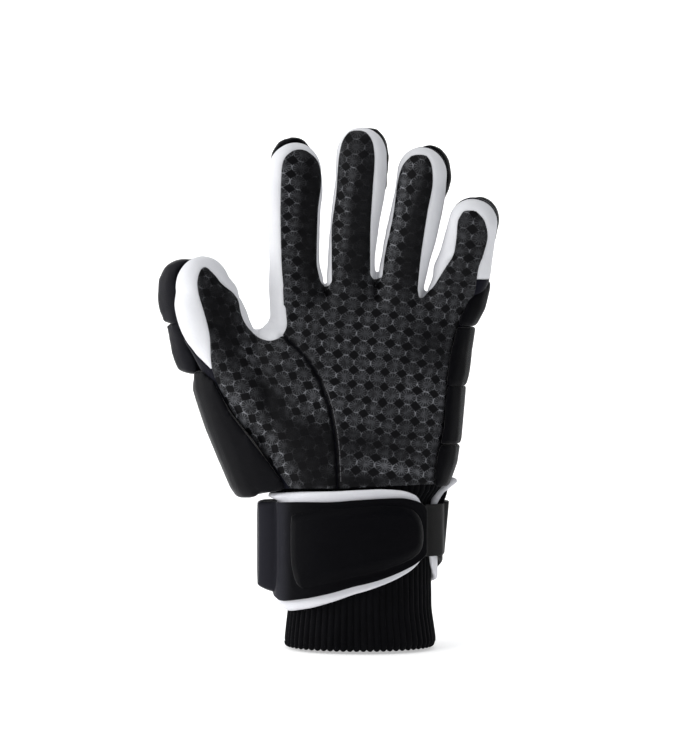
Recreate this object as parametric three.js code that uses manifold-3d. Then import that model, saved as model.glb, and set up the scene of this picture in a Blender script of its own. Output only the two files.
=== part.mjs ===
// Padded field hockey glove for a left hand, in the shape it has when worn.
// The palm faces -Y, the fingers point up (+Z), and the thumb is on the -X side. Millimetres.
// The origin is the middle of the wrist opening, level with the rim of the knit cuff.
import * as THREE from "three";
import { mergeVertices } from "three/addons/utils/BufferGeometryUtils.js";
import Module from "manifold-3d";

const wasm = await Module();
wasm.setup();

// Driving sizes
const wall = 1.6; // leather, stretch cloth and laminated back
const gap = 0.3; // between neighbouring pieces
const bodyBottom = 84; // lower edge of the glove body, above the cuff's rim
const far = 70; // reaches past the glove on every side when cutting

// The digits, each a centre line with its sizes. x, y, z: centre of a section. half: half its width.
// front, back: its depth to each side of the centre. The tip is a dome of the given length.
// twist turns the palm side towards +X. split is how far behind the centre line the back cloth starts.
// The leather ends at the depth grip. pad is the foam's width against the digit's, thick its thickness
// and over its height above the tip.
const digits = {
  thumb: {
    twist: 35, split: 7, dome: 14.5, grip: -7, pad: 1.02, thick: 12, over: 1,
    rows: [
      { z: 106, x: -38, y: -2, half: 14, front: 18, back: 15 },
      { z: 128, x: -52.5, y: -3, half: 17.5, front: 17, back: 14 },
      { z: 147, x: -63, y: -5, half: 18, front: 15, back: 13 },
      { z: 162, x: -71, y: -7.5, half: 18, front: 13, back: 12 },
      { z: 175, x: -77, y: -10.5, half: 16.5, front: 12, back: 11.5 },
      { z: 189, x: -81.5, y: -13.5, half: 13.2, front: 11, back: 10.5 },
    ],
  },
  index: {
    twist: 18, split: 3, dome: 16.5, grip: -3, pad: 0.8, thick: 8, over: 2.2,
    rows: [
      { z: 160, x: -31, y: -1, half: 14, front: 11, back: 11 },
      { z: 187, x: -31.5, y: -1, half: 15.2, front: 11, back: 10.5 },
      { z: 201, x: -33.8, y: -1.5, half: 12.9, front: 10.5, back: 10 },
      { z: 226, x: -34.2, y: -3, half: 13.6, front: 10.5, back: 10 },
      { z: 238, x: -34, y: -3.8, half: 14.8, front: 10.5, back: 10 },
      { z: 246, x: -33.9, y: -4.5, half: 14, front: 10, back: 9.5 },
    ],
  },
  middle: {
    twist: -13, split: 3, dome: 14, grip: -3, pad: 0.84, thick: 8, over: 0.2,
    rows: [
      { z: 160, x: -5, y: -1, half: 13.5, front: 11, back: 11 },
      { z: 188, x: -4.9, y: -1, half: 13.4, front: 11, back: 10.5 },
      { z: 201, x: -4.3, y: -1.5, half: 12.2, front: 10.5, back: 10 },
      { z: 226, x: -1.8, y: -3, half: 12.6, front: 10.5, back: 10 },
      { z: 244, x: 0.6, y: -4.5, half: 13.1, front: 10.5, back: 9.5 },
      { z: 256, x: 1, y: -5.2, half: 12.9, front: 10, back: 9.5 },
    ],
  },
  ring: {
    twist: -15, split: 3, dome: 14, grip: -3, pad: 0.84, thick: 8, over: 1.8,
    rows: [
      { z: 155, x: 17, y: -1, half: 13, front: 11, back: 11 },
      { z: 187, x: 20, y: -1, half: 12.6, front: 11, back: 10.5 },
      { z: 201, x: 23.4, y: -1.5, half: 12.5, front: 10.5, back: 10 },
      { z: 214, x: 26.3, y: -2.5, half: 13, front: 10.5, back: 10 },
      { z: 236, x: 31, y: -4.5, half: 13, front: 10.5, back: 9.5 },
      { z: 246, x: 32.2, y: -5.2, half: 12.9, front: 10, back: 9.5 },
    ],
  },
  little: {
    twist: -8, split: 3, dome: 12.5, grip: -5, pad: 0.84, thick: 8, over: 0.4,
    rows: [
      { z: 150, x: 38, y: -1, half: 13, front: 11, back: 11 },
      { z: 175, x: 44, y: -1, half: 13, front: 11, back: 11 },
      { z: 186, x: 48.5, y: -1.5, half: 12.5, front: 10.5, back: 10 },
      { z: 193, x: 51.8, y: -2.5, half: 14.8, front: 10.5, back: 10 },
      { z: 205, x: 55, y: -5, half: 13.4, front: 10, back: 9.5 },
      { z: 222, x: 58.6, y: -9, half: 12.6, front: 9.5, back: 9 },
    ],
  },
};

// The hand part below the fingers: level sections with their four sides.
const palmRows = [
  { z: bodyBottom, left: -43, right: 41.5, front: -26.5, back: 25.5 },
  { z: 99, left: -50, right: 43.5, front: -26, back: 24 },
  { z: 114, left: -58, right: 47, front: -25, back: 22.5 },
  { z: 130, left: -62, right: 49.5, front: -23.5, back: 20.5 },
  { z: 147, left: -60, right: 51, front: -21.5, back: 19 },
  { z: 160, left: -52, right: 54, front: -19, back: 17 },
  { z: 172, left: -46, right: 57, front: -15.5, back: 14.5 },
  { z: 179, left: -44, right: 57, front: -12.5, back: 12 },
  { z: 185, left: -42, right: 55, front: -8, back: 8 },
];

// Outlines of the leather, seen from the front. The thumb leather ends at the seam round the thumb's base.
const thumbSeam = [
  { x: -11, z: bodyBottom }, { x: -11, z: 104 }, { x: -12, z: 116.5 }, { x: -14, z: 127 },
  { x: -17.5, z: 134.5 }, { x: -23, z: 146 }, { x: -31, z: 156 }, { x: -40, z: 163.5 },
];
const thumbOuterEdge = [
  { x: -46.5, z: 160.5 }, { x: -51.5, z: 162 }, { x: -56, z: 165.5 }, { x: -60, z: 171 },
  { x: -62, z: 178.5 }, { x: -65, z: 185.5 }, { x: -69, z: 190 }, { x: -74, z: 193 },
  { x: -79.5, z: 198.5 }, { x: -83, z: 192 }, { x: -82.5, z: 184 }, { x: -79, z: 173 },
  { x: -76.5, z: 162.5 }, { x: -77, z: 150 }, { x: -75.5, z: 142 }, { x: -65, z: 122 },
  { x: -56.5, z: 111.5 }, { x: -46.5, z: 99 }, { x: -36, z: bodyBottom },
];
const palmOuterEdge = [
  { x: -39.5, z: 176 }, { x: -39.5, z: 190 }, { x: -20, z: 190 }, { x: -17.5, z: 187.5 },
  { x: -14.5, z: 190 }, { x: 4.5, z: 193 }, { x: 7.5, z: 190 }, { x: 11, z: 192 },
  { x: 29.5, z: 188 }, { x: 31.5, z: 180.5 }, { x: 38.5, z: 190 }, { x: 60.5, z: 191.5 },
  { x: 55.5, z: 179 }, { x: 51, z: 169.5 }, { x: 47, z: 154 }, { x: 44.5, z: 135 },
  { x: 43, z: 115.5 }, { x: 39, z: 96 }, { x: 38.5, z: bodyBottom },
];
// The leather strip up the front of each finger, by height.
const fingerStrips = {
  index: [
    { z: 185, left: -39.5, right: -19.5 }, { z: 201, left: -40, right: -22 },
    { z: 226, left: -40.5, right: -22 }, { z: 242, left: -40, right: -20.5 },
    { z: 251, left: -39.5, right: -22 }, { z: 256, left: -37, right: -25 },
    { z: 259, left: -33, right: -29 },
  ],
  middle: [
    { z: 187, left: -14.5, right: 4.5 }, { z: 214, left: -15, right: 4.5 },
    { z: 238, left: -12.5, right: 6 }, { z: 254, left: -11, right: 7 },
    { z: 262, left: -8.5, right: 5.5 }, { z: 266, left: -4.5, right: 1.5 },
  ],
  ring: [
    { z: 186, left: 11, right: 29.5 }, { z: 201, left: 12.5, right: 30.5 },
    { z: 226, left: 17.5, right: 34 }, { z: 243, left: 20.5, right: 36.5 },
    { z: 250, left: 23.5, right: 35.5 }, { z: 254, left: 28, right: 33 },
  ],
  little: [
    { z: 187, left: 37.5, right: 59.5 }, { z: 197, left: 43, right: 61 },
    { z: 205, left: 48, right: 63.5 }, { z: 214, left: 50, right: 65 },
    { z: 221, left: 51, right: 63 }, { z: 226, left: 54, right: 58.5 },
  ],
};

// Where the white side cloth of each digit lies, seen from the front.
const clothZones = {
  thumb: [
    { x: -77, z: 143 }, { x: -100, z: 168 }, { x: -115, z: 215 }, { x: -51, z: 215 }, { x: -51, z: 150 },
  ],
  index: [
    { x: -51, z: 150 }, { x: -51, z: 215 }, { x: -60, z: 280 }, { x: -16.5, z: 280 },
    { x: -17.5, z: 184 }, { x: -34, z: 176 },
  ],
  middle: [
    { x: -17.5, z: 184 }, { x: -16.5, z: 280 }, { x: 21, z: 280 }, { x: 16, z: 246 },
    { x: 11.5, z: 214 }, { x: 8, z: 186 },
  ],
  ring: [
    { x: 8, z: 186 }, { x: 11.5, z: 214 }, { x: 16, z: 246 }, { x: 21, z: 280 }, { x: 50, z: 280 },
    { x: 47, z: 233 }, { x: 41.5, z: 214 }, { x: 36.8, z: 197 }, { x: 32, z: 177 },
  ],
  little: [
    { x: 32, z: 177 }, { x: 36.8, z: 197 }, { x: 41.5, z: 214 }, { x: 47, z: 233 }, { x: 50, z: 255 },
    { x: 90, z: 255 }, { x: 90, z: 191.5 }, { x: 58, z: 191.5 },
  ],
};

// The foam pads along the back of each digit, as heights from and to, seen from the front.
const padRuns = {
  thumb: [{ from: 146, to: 168.5 }, { from: 170, to: 208 }],
  index: [{ from: 188.5, to: 209 }, { from: 210.4, to: 233 }, { from: 234.4, to: 268 }],
  middle: [{ from: 189, to: 212 }, { from: 213.4, to: 239 }, { from: 240.4, to: 275 }],
  ring: [{ from: 186.5, to: 207 }, { from: 208.4, to: 230 }, { from: 231.4, to: 265 }],
  little: [{ from: 192.5, to: 211 }, { from: 212.4, to: 240 }],
};
const padEdge = 0.5; // how far behind the split the foam starts

// The foam blocks over the back of the hand, whose ends wrap round the little finger's side.
const blockRows = [
  { z: 85, left: -40, right: 46, front: -26, back: 33.5 },
  { z: 97, left: -42, right: 50.5, front: -26, back: 33.5 },
  { z: 110, left: -44, right: 52.5, front: -25.5, back: 32.5 },
  { z: 134, left: -46, right: 54, front: -24.5, back: 30 },
  { z: 144, left: -47, right: 56.5, front: -23.5, back: 29 },
  { z: 155, left: -47, right: 57.5, front: -22, back: 27.5 },
  { z: 168, left: -46, right: 60, front: -19.5, back: 25 },
  { z: 177, left: -45, right: 65, front: -17, back: 23 },
  { z: 187, left: -44, right: 67.5, front: -15.5, back: 21.5 },
  { z: 191.2, left: -43, right: 67.8, front: -15, back: 20.5 },
];
const blockCuts = [107, 137, 167.5]; // heights of the grooves between blocks
const blockTop = [
  { x: -60, z: 184 }, { x: -33, z: 187 }, { x: -4, z: 187.6 }, { x: 12, z: 185.5 }, { x: 27, z: 184.5 },
  { x: 36, z: 184 }, { x: 46, z: 189 }, { x: 54, z: 191.2 }, { x: 80, z: 191.2 },
];
const grooveWidth = 1.4;

// The smooth foam panel on the thumb side, flaring out towards the wrist.
const panelRows = [
  { z: 80, left: -62.5, right: 0, front: -17, back: 30 },
  { z: 85, left: -66, right: 0, front: -19, back: 30.5 },
  { z: 100, left: -72.5, right: 0, front: -20.5, back: 29.5 },
  { z: 115, left: -78.5, right: 0, front: -21, back: 28 },
  { z: 134, left: -84.5, right: -10, front: -21, back: 26 },
  { z: 143.5, left: -85.5, right: -20, front: -21, back: 25 },
];

// The knit cuff, a ribbed tube. Its top lies inside the glove body.
const cuffRows = [
  { z: 0, left: -37.5, right: 37.5, front: -26.5, back: 26.5 },
  { z: 3, left: -39.2, right: 39, front: -28, back: 28 },
  { z: 21, left: -37.4, right: 37, front: -26, back: 26 },
  { z: 76, left: -37.4, right: 37, front: -26, back: 26 },
  { z: 83, left: -37.8, right: 37.2, front: -24.2, back: 23.2 },
  { z: 93, left: -43, right: 38.5, front: -23.8, back: 22 },
];
const ribs = { count: 36, depth: 0.9 };
const cuffWall = 2.6;
const wristPower = 2.2; // 2 would be a plain ellipse

// The wrist strap, seen from above: degrees run from the right side (0) over the front (90), the left
// (180) and the back (270) to the right side again. top and bottom are the edges of its white lining,
// under is its distance from the cuff, pad is the padding in the lining, and rimTop and rimBottom are
// how much of the lining shows past the black cover.
const strapRows = [
  { deg: 35, top: 66, bottom: 56, under: 1.8, pad: 0, rimTop: 1, rimBottom: 1 },
  { deg: 39, top: 74, bottom: 50.5, under: 1.8, pad: 0, rimTop: 1, rimBottom: 0.8 },
  { deg: 47, top: 79.5, bottom: 45, under: 1.5, pad: 0, rimTop: 1.8, rimBottom: 0.8 },
  { deg: 62, top: 82.3, bottom: 40.5, under: 0.6, pad: 0, rimTop: 2.8, rimBottom: 0.8 },
  { deg: 76, top: 83, bottom: 37, under: 0, pad: 0.2, rimTop: 4, rimBottom: 1 },
  { deg: 90, top: 82.8, bottom: 33.4, under: 0, pad: 0.5, rimTop: 4.8, rimBottom: 1.6 },
  { deg: 110, top: 82, bottom: 27.5, under: 0, pad: 1.2, rimTop: 5, rimBottom: 3 },
  { deg: 130, top: 81.9, bottom: 23, under: 0, pad: 2.5, rimTop: 4.8, rimBottom: 4.6 },
  { deg: 150, top: 81.8, bottom: 21.3, under: 0, pad: 3.8, rimTop: 4.7, rimBottom: 5 },
  { deg: 166, top: 81.6, bottom: 23, under: 0, pad: 4, rimTop: 4.6, rimBottom: 4.6 },
  { deg: 190, top: 81.5, bottom: 26, under: 0, pad: 4, rimTop: 4.6, rimBottom: 4.6 },
  { deg: 230, top: 81.5, bottom: 28, under: 0, pad: 2.5, rimTop: 4.6, rimBottom: 4.6 },
  { deg: 270, top: 81.5, bottom: 28, under: 0, pad: 1.5, rimTop: 4.6, rimBottom: 4.6 },
  { deg: 310, top: 81.8, bottom: 30, under: 0, pad: 0.6, rimTop: 4.6, rimBottom: 4.6 },
  { deg: 340, top: 82, bottom: 34, under: 0, pad: 0, rimTop: 4, rimBottom: 4 },
  { deg: 358, top: 81.5, bottom: 39, under: 0, pad: 0, rimTop: 3, rimBottom: 3 },
  { deg: 372, top: 78, bottom: 45, under: 0, pad: 0, rimTop: 1.5, rimBottom: 1.5 },
  { deg: 380, top: 73, bottom: 51, under: 0, pad: 0, rimTop: 1, rimBottom: 1 },
];
// The raised foam pads on the cover
const frontPadRows = [
  { deg: 44.5, top: 63, bottom: 56 },
  { deg: 47, top: 68.5, bottom: 52 },
  { deg: 53, top: 72.5, bottom: 48.8 },
  { deg: 62, top: 74.2, bottom: 46 },
  { deg: 76, top: 74.7, bottom: 42.6 },
  { deg: 90, top: 73.8, bottom: 39.8 },
  { deg: 104, top: 72.8, bottom: 36.9 },
  { deg: 118, top: 71.8, bottom: 34.6 },
  { deg: 130, top: 71, bottom: 33.3 },
  { deg: 135, top: 70.6, bottom: 36.5 },
  { deg: 139, top: 69.5, bottom: 47 },
];
const sidePadRows = [
  { deg: 160, top: 78, bottom: 34.5 },
  { deg: 163, top: 80.5, bottom: 32.3 },
  { deg: 200, top: 80.5, bottom: 32.3 },
  { deg: 203, top: 78, bottom: 34.5 },
];
const backPadRows = [
  { deg: 222, top: 70, bottom: 40 },
  { deg: 226, top: 74, bottom: 36 },
  { deg: 308, top: 74, bottom: 38 },
  { deg: 313, top: 70, bottom: 42 },
];
const raised = { front: 3.4, side: 6.2, back: 7 };
// The webbing that closes the strap: it comes from under the front tongue and lies on the back one.
const webbingRows = [
  { deg: -40, top: 76, bottom: 49.2, under: 4.5 },
  { deg: 14, top: 76, bottom: 49.2, under: 4.5 },
  { deg: 25, top: 76, bottom: 49.2, under: 2 },
  { deg: 29, top: 76, bottom: 49.2, under: 0.2 },
  { deg: 40, top: 72, bottom: 52, under: 0.1 },
];
const webbingThick = 1.3;
const strap = { halfX: 37.6, halfY: 26.5, lining: 1.4, cover: 2.4 };
const wristMiddle = -0.2;

// Materials
const cloth = (color, roughness) => new THREE.MeshStandardMaterial({ color, roughness, metalness: 0 });
const leather = cloth(0x17181b, 0.42);
const sideCloth = cloth(0xe6e8ee, 0.85);
const backCloth = cloth(0x16161a, 0.9);
const foam = cloth(0x1a1a1f, 0.8);
const knit = cloth(0x0d0d10, 0.95);
const lining = cloth(0xdfe0e6, 0.85);
const tape = cloth(0x1d1d1d, 0.7);

// A closed geometry as a solid
function solidOf(geometry) {
  geometry.deleteAttribute("normal");
  geometry.deleteAttribute("uv");
  const merged = mergeVertices(geometry, 1e-4);
  return new wasm.Manifold(
    new wasm.Mesh({
      numProp: 3,
      vertProperties: merged.attributes.position.array,
      triVerts: new Uint32Array(merged.index.array),
    }),
  );
}

// A closed solid through rings of points, with a fan over each end
function loft(rings) {
  const n = rings[0].length;
  const points = rings.flat();
  const faces = [];
  for (let k = 0; k < rings.length - 1; k++) {
    for (let i = 0; i < n; i++) {
      const a = k * n + i;
      const b = k * n + ((i + 1) % n);
      faces.push([a, b, b + n], [a, b + n, a + n]);
    }
  }
  for (const end of [0, rings.length - 1]) {
    const middle = rings[end].reduce((sum, p) => sum.add(p), new THREE.Vector3()).divideScalar(n);
    points.push(middle);
    for (let i = 0; i < n; i++) {
      const a = end * n + i;
      const b = end * n + ((i + 1) % n);
      faces.push(end ? [a, b, points.length - 1] : [b, a, points.length - 1]);
    }
  }
  const volume = faces.reduce(
    (sum, [a, b, c]) => sum + points[a].dot(points[b].clone().cross(points[c])),
    0,
  );
  if (volume < 0) faces.forEach((f) => f.reverse());
  const geometry = new THREE.BufferGeometry().setFromPoints(points);
  geometry.setIndex(faces.flat());
  return solidOf(geometry);
}

// An outline in the XZ plane, run from one depth to another
function prism(outline, fromY, toY) {
  const shape = new THREE.Shape(outline.map((p) => new THREE.Vector2(p.x, p.z)));
  const geometry = new THREE.ExtrudeGeometry(shape, { depth: toY - fromY, bevelEnabled: false });
  geometry.rotateX(Math.PI / 2).translate(0, toY, 0);
  return solidOf(geometry);
}

// The outline with every side moved out by d
function grown(outline, d) {
  const n = outline.length;
  const area = outline.reduce((sum, p, i) => sum + p.x * outline[(i + 1) % n].z - outline[(i + 1) % n].x * p.z, 0);
  const side = Math.sign(area) * d;
  return outline.map((p, i) => {
    const before = outline[(i + n - 1) % n];
    const after = outline[(i + 1) % n];
    const u = new THREE.Vector2(p.x - before.x, p.z - before.z).normalize();
    const v = new THREE.Vector2(after.x - p.x, after.z - p.z).normalize();
    const corner = new THREE.Vector2(u.y + v.y, -(u.x + v.x)).normalize();
    const reach = side / Math.max(0.5, corner.x * u.y - corner.y * u.x);
    return { x: p.x + corner.x * reach, z: p.z + corner.y * reach };
  });
}

// Points round a rounded box section, turned by twist and fitted to its half width
function section(half, front, back, twist, count, power = 2.5) {
  const turn = THREE.MathUtils.degToRad(twist);
  const points = [];
  for (let i = 0; i < count; i++) {
    const angle = (2 * Math.PI * (i + 0.5)) / count;
    const c = Math.cos(angle);
    const s = Math.sin(angle);
    const across = half * Math.sign(c) * Math.abs(c) ** (2 / power);
    const depth = (s < 0 ? front : back) * Math.sign(s) * Math.abs(s) ** (2 / power);
    points.push(new THREE.Vector2(across, depth).rotateAround(new THREE.Vector2(), turn));
  }
  const widest = Math.max(...points.map((p) => Math.abs(p.x)));
  points.forEach((p) => (p.x *= half / widest));
  return points;
}

// Middle, direction across and direction to the back of each section of a digit. The tip's dome adds sections.
function digitStations(digit, inset = 0, domeSteps = 3) {
  const rows = digit.rows;
  const stations = rows.map((row, k) => {
    const low = rows[Math.max(0, k - 1)];
    const high = rows[Math.min(rows.length - 1, k + 1)];
    const along = new THREE.Vector3(high.x - low.x, high.y - low.y, high.z - low.z).normalize();
    const across = new THREE.Vector3(along.z, 0, -along.x).normalize();
    const middle = new THREE.Vector3(row.x, row.y, row.z);
    return { middle, along, across, back: along.clone().cross(across), share: 1, row };
  });
  const last = stations.at(-1);
  for (let k = 1; k <= domeSteps; k++) {
    const angle = ((k - 0.15) / domeSteps) * (Math.PI / 2);
    const reach = (digit.dome - inset) * Math.sin(angle);
    const middle = last.middle.clone().addScaledVector(last.along, reach);
    stations.push({ ...last, middle, share: Math.cos(angle) });
  }
  return stations;
}

const place = (station, p) =>
  station.middle.clone().addScaledVector(station.across, p.x).addScaledVector(station.back, p.y);

// The outside of a digit, smaller by inset
function digitForm(digit, inset, fine) {
  return loft(
    digitStations(digit, inset, fine ? 3 : 2).map((station) => {
      const { half, front, back } = station.row;
      return section(half - inset, front - inset, back - inset, digit.twist, fine ? 12 : 8).map((p) =>
        place(station, p.multiplyScalar(station.share)),
      );
    }),
  );
}

// A level rounded section from its four sides
function levelRing(row, inset, count, power) {
  const middle = (row.left + row.right) / 2;
  const half = (row.right - row.left) / 2 - inset;
  const centre = (row.front + row.back) / 2;
  const depth = (row.back - row.front) / 2 - inset;
  return section(half, depth, depth, 0, count, power).map(
    (p) => new THREE.Vector3(middle + p.x, centre + p.y, row.z),
  );
}

const levelLoft = (rows, inset, count, power) => loft(rows.map((row) => levelRing(row, inset, count, power)));

// The whole hand shape, smaller by inset and reaching down by below. The inside has fewer faces.
function handForm(inset, below = 0) {
  const fine = inset <= 0;
  const bottom = { ...palmRows[0], z: palmRows[0].z - below };
  const rows = below ? [bottom, ...palmRows] : palmRows;
  const top = { ...palmRows.at(-1), z: palmRows.at(-1).z - inset };
  const palm = levelLoft([...rows.slice(0, -1), top], inset, fine ? 20 : 14, 2.8);
  return Object.values(digits).reduce((whole, digit) => whole.add(digitForm(digit, inset, fine)), palm);
}

// Everything behind a digit's split line, moved back by shift
function behindDigit(digit, shift = 0) {
  const stations = digitStations(digit);
  const turn = THREE.MathUtils.degToRad(digit.twist);
  const tip = stations.at(-1);
  const beyond = { ...tip, middle: tip.middle.clone().addScaledVector(tip.along, far) };
  const start = digit.split + shift;
  const corners = [[-far, start], [far, start], [far, far], [-far, far]];
  return loft(
    [...stations, beyond].map((station) =>
      corners.map(([x, y]) => place(station, new THREE.Vector2(x, y).rotateAround(new THREE.Vector2(), turn))),
    ),
  );
}

// Everything between two heights
function slab(from, to) {
  const box = new THREE.BoxGeometry(4 * far, 4 * far, to - from).translate(0, 0, (from + to) / 2);
  return solidOf(box);
}

const glove = new THREE.Group();

// Adds the largest body of a solid as a named mesh
function addPiece(name, solid, material) {
  const body = solid.decompose().reduce((a, b) => (a.volume() > b.volume() ? a : b));
  const made = body.getMesh();
  const geometry = new THREE.BufferGeometry();
  const position = new Float32Array(made.numVert * 3);
  for (let i = 0; i < made.numVert; i++) {
    position.set(made.vertProperties.subarray(i * made.numProp, i * made.numProp + 3), i * 3);
  }
  geometry.setAttribute("position", new THREE.BufferAttribute(position, 3));
  geometry.setIndex(new THREE.BufferAttribute(made.triVerts, 1));
  geometry.computeVertexNormals();
  const mesh = new THREE.Mesh(geometry, material);
  mesh.name = name;
  glove.add(mesh);
}

// The thin shell of the glove body, cut into leather, side cloth and back
const shell = handForm(0).subtract(handForm(wall, 10));
const hand = handForm(-gap);

const stripOutline = (rows) => [
  ...rows.map((r) => ({ x: r.left, z: r.z })),
  ...rows.toReversed().map((r) => ({ x: r.right, z: r.z })),
];
const palmOutline = [...thumbSeam, ...palmOuterEdge];
const thumbOutline = [...thumbSeam, ...thumbOuterEdge];
const palmFront = -2; // leather lies in front of this depth

function palmCutter(margin) {
  return Object.entries(fingerStrips).reduce(
    (whole, [name, rows]) => whole.add(prism(grown(stripOutline(rows), margin), -far, digits[name].grip)),
    prism(grown(palmOutline, margin), -far, palmFront),
  );
}
const thumbCutter = (margin) => prism(grown(thumbOutline, margin), -far, digits.thumb.grip);

addPiece("palm_leather", shell.intersect(palmCutter(-gap / 2)).subtract(thumbCutter(gap / 2)), leather);
addPiece("thumb_leather", shell.intersect(thumbCutter(-gap / 2)), leather);

const leatherCutter = palmCutter(gap / 2).add(thumbCutter(gap / 2));
let back = shell.subtract(leatherCutter);
for (const [name, zone] of Object.entries(clothZones)) {
  const inside = prism(grown(zone, -gap / 2), -far, far);
  const white = shell.intersect(inside).subtract(leatherCutter).subtract(behindDigit(digits[name], -gap));
  addPiece(name + "_side_cloth", white, sideCloth);
  back = back.subtract(prism(grown(zone, gap / 2), -far, far).subtract(behindDigit(digits[name])));
}
addPiece("back_cloth", back, backCloth);

// Foam pads on the backs of the digits
function padForm(digit) {
  const last = digitStations(digit).length - 1;
  return loft(
    digitStations({ ...digit, dome: digit.dome + digit.over }).map((station, k) => {
      const { half, back: depth } = station.row;
      const share = k === last ? station.share : Math.min(1, station.share * 1.05);
      const turn = THREE.MathUtils.degToRad(digit.twist);
      const deep = (depth + digit.thick - digit.split) / 2;
      const middle = digit.split + padEdge + deep;
      return section(half * digit.pad, deep, deep, 0, 12, 3).map((p) => {
        const local = new THREE.Vector2(p.x * share, (middle + p.y) * (0.25 + 0.75 * share));
        return place(station, local.rotateAround(new THREE.Vector2(), turn));
      });
    }),
  );
}
for (const [name, runs] of Object.entries(padRuns)) {
  const pads = padForm(digits[name]).subtract(hand);
  runs.forEach(({ from, to }, i) => {
    addPiece(name + "_pad_" + (i + 1), pads.intersect(slab(from, to)), foam);
  });
}

// Foam blocks over the back of the hand
const blockLimit = [{ x: 80, z: 70 }, { x: -60, z: 70 }, ...blockTop];
const blocks = levelLoft(blockRows, 0, 24, 3)
  .subtract(hand)
  .subtract(prism(grown(palmOutline, gap), -far, palmFront))
  .intersect(prism(blockLimit, -far, far));
const blockEnds = [blockRows[0].z, ...blockCuts, blockRows.at(-1).z];
for (let i = 0; i < blockEnds.length - 1; i++) {
  const part = slab(blockEnds[i] + grooveWidth / 2, blockEnds[i + 1] - grooveWidth / 2);
  addPiece("hand_block_" + (i + 1), blocks.intersect(part), foam);
}

// Foam panel on the thumb side
const blockZone = levelLoft(blockRows, -gap, 24, 3);
const wristZone = levelLoft(
  [-5, bodyBottom - 1.5].map((z) => ({ z, left: -53.5, right: 51.5, front: -40, back: 40 })),
  0,
  32,
  wristPower,
);
const panel = levelLoft(panelRows, 0, 24, 2.6)
  .subtract(handForm(-gap, 10))
  .subtract(blockZone)
  .subtract(thumbCutter(gap))
  .subtract(padForm(digits.thumb))
  .subtract(wristZone);
addPiece("thumb_side_panel", panel, foam);

// The ribbed cuff
function cuffRing(row, inset, ribDepth) {
  return levelRing(row, inset, ribs.count * 2, wristPower).map((p, i) => {
    const middle = new THREE.Vector3((row.left + row.right) / 2, 0, row.z);
    return p.sub(middle).multiplyScalar(1 - (i % 2 ? ribDepth / 32 : 0)).add(middle);
  });
}
const cuffOutside = loft(cuffRows.map((row) => cuffRing(row, 0, ribs.depth)));
const insideRows = [{ ...cuffRows[2], z: -5 }, ...cuffRows.slice(2), { ...cuffRows.at(-1), z: 100 }];
const cuffInside = levelLoft(insideRows, cuffWall, 20, wristPower);
addPiece("knit_cuff", cuffOutside.subtract(cuffInside), knit);

// The row at an angle, between the given rows
function rowAt(rows, deg) {
  const k = Math.max(1, rows.findIndex((row) => row.deg >= deg));
  const [low, high] = [rows[k - 1], rows[k]];
  const share = (deg - low.deg) / (high.deg - low.deg);
  return Object.fromEntries(Object.keys(low).map((key) => [key, THREE.MathUtils.lerp(low[key], high[key], share)]));
}

// The rows with others between them, no more than the given degrees apart
function finer(rows, step) {
  return rows.flatMap((row, k) => {
    if (k === rows.length - 1) return [row];
    const wide = rows[k + 1].deg - row.deg;
    const parts = Math.ceil(wide / step);
    return Array.from({ length: parts }, (_, i) => rowAt(rows, row.deg + (wide * i) / parts));
  });
}

const bow = (v) => Math.sign(v) * Math.abs(v) ** (2 / wristPower);

// A layer wound round the wrist, from one distance off the cuff to another, with its outer edges cut back
function wound(rows, from, to, round = 0.4) {
  return loft(
    finer(rows, 13).map((row) => {
      const angle = THREE.MathUtils.degToRad(row.deg);
      const inner = from(row);
      const outer = to(row);
      const profile = [
        [inner, row.bottom], [outer - round, row.bottom], [outer, row.bottom + round],
        [outer, row.top - round], [outer - round, row.top], [inner, row.top],
      ];
      return profile.map(([out, z]) => {
        const x = wristMiddle + (strap.halfX + out) * bow(Math.cos(angle));
        const y = -(strap.halfY + out) * bow(Math.sin(angle));
        return new THREE.Vector3(x, y, z);
      });
    }),
  );
}

// The cover lies on the lining, and the raised pads lie on the cover.
const liningTop = (row) => row.under + gap + strap.lining + row.pad;
const coverTop = (row) => liningTop(row) + gap + strap.cover;
const onCover = (row) => coverTop(rowAt(strapRows, row.deg)) + gap;
const coverRows = strapRows.slice(1, -1).map((row) => {
  return { ...row, top: row.top - row.rimTop, bottom: row.bottom + row.rimBottom };
});
addPiece("strap_lining", wound(strapRows, (row) => row.under + gap, liningTop), lining);
addPiece("strap_cover", wound(coverRows, (row) => liningTop(row) + gap, coverTop, 0.8), foam);
const raisedPads = { front: frontPadRows, side: sidePadRows, back: backPadRows };
for (const [name, rows] of Object.entries(raisedPads)) {
  const top = (row) => onCover(row) + raised[name];
  addPiece("strap_" + name + "_pad", wound(rows, onCover, top, 1.6), foam);
}
const webbingInside = (row) => row.under + gap;
const webbing = wound(webbingRows, webbingInside, (row) => webbingInside(row) + webbingThick, 0.3);
addPiece("strap_webbing", webbing, tape);

export default glove;
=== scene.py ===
import math
import bpy
import numpy as np
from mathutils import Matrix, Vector, bvhtree, kdtree, noise


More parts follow.
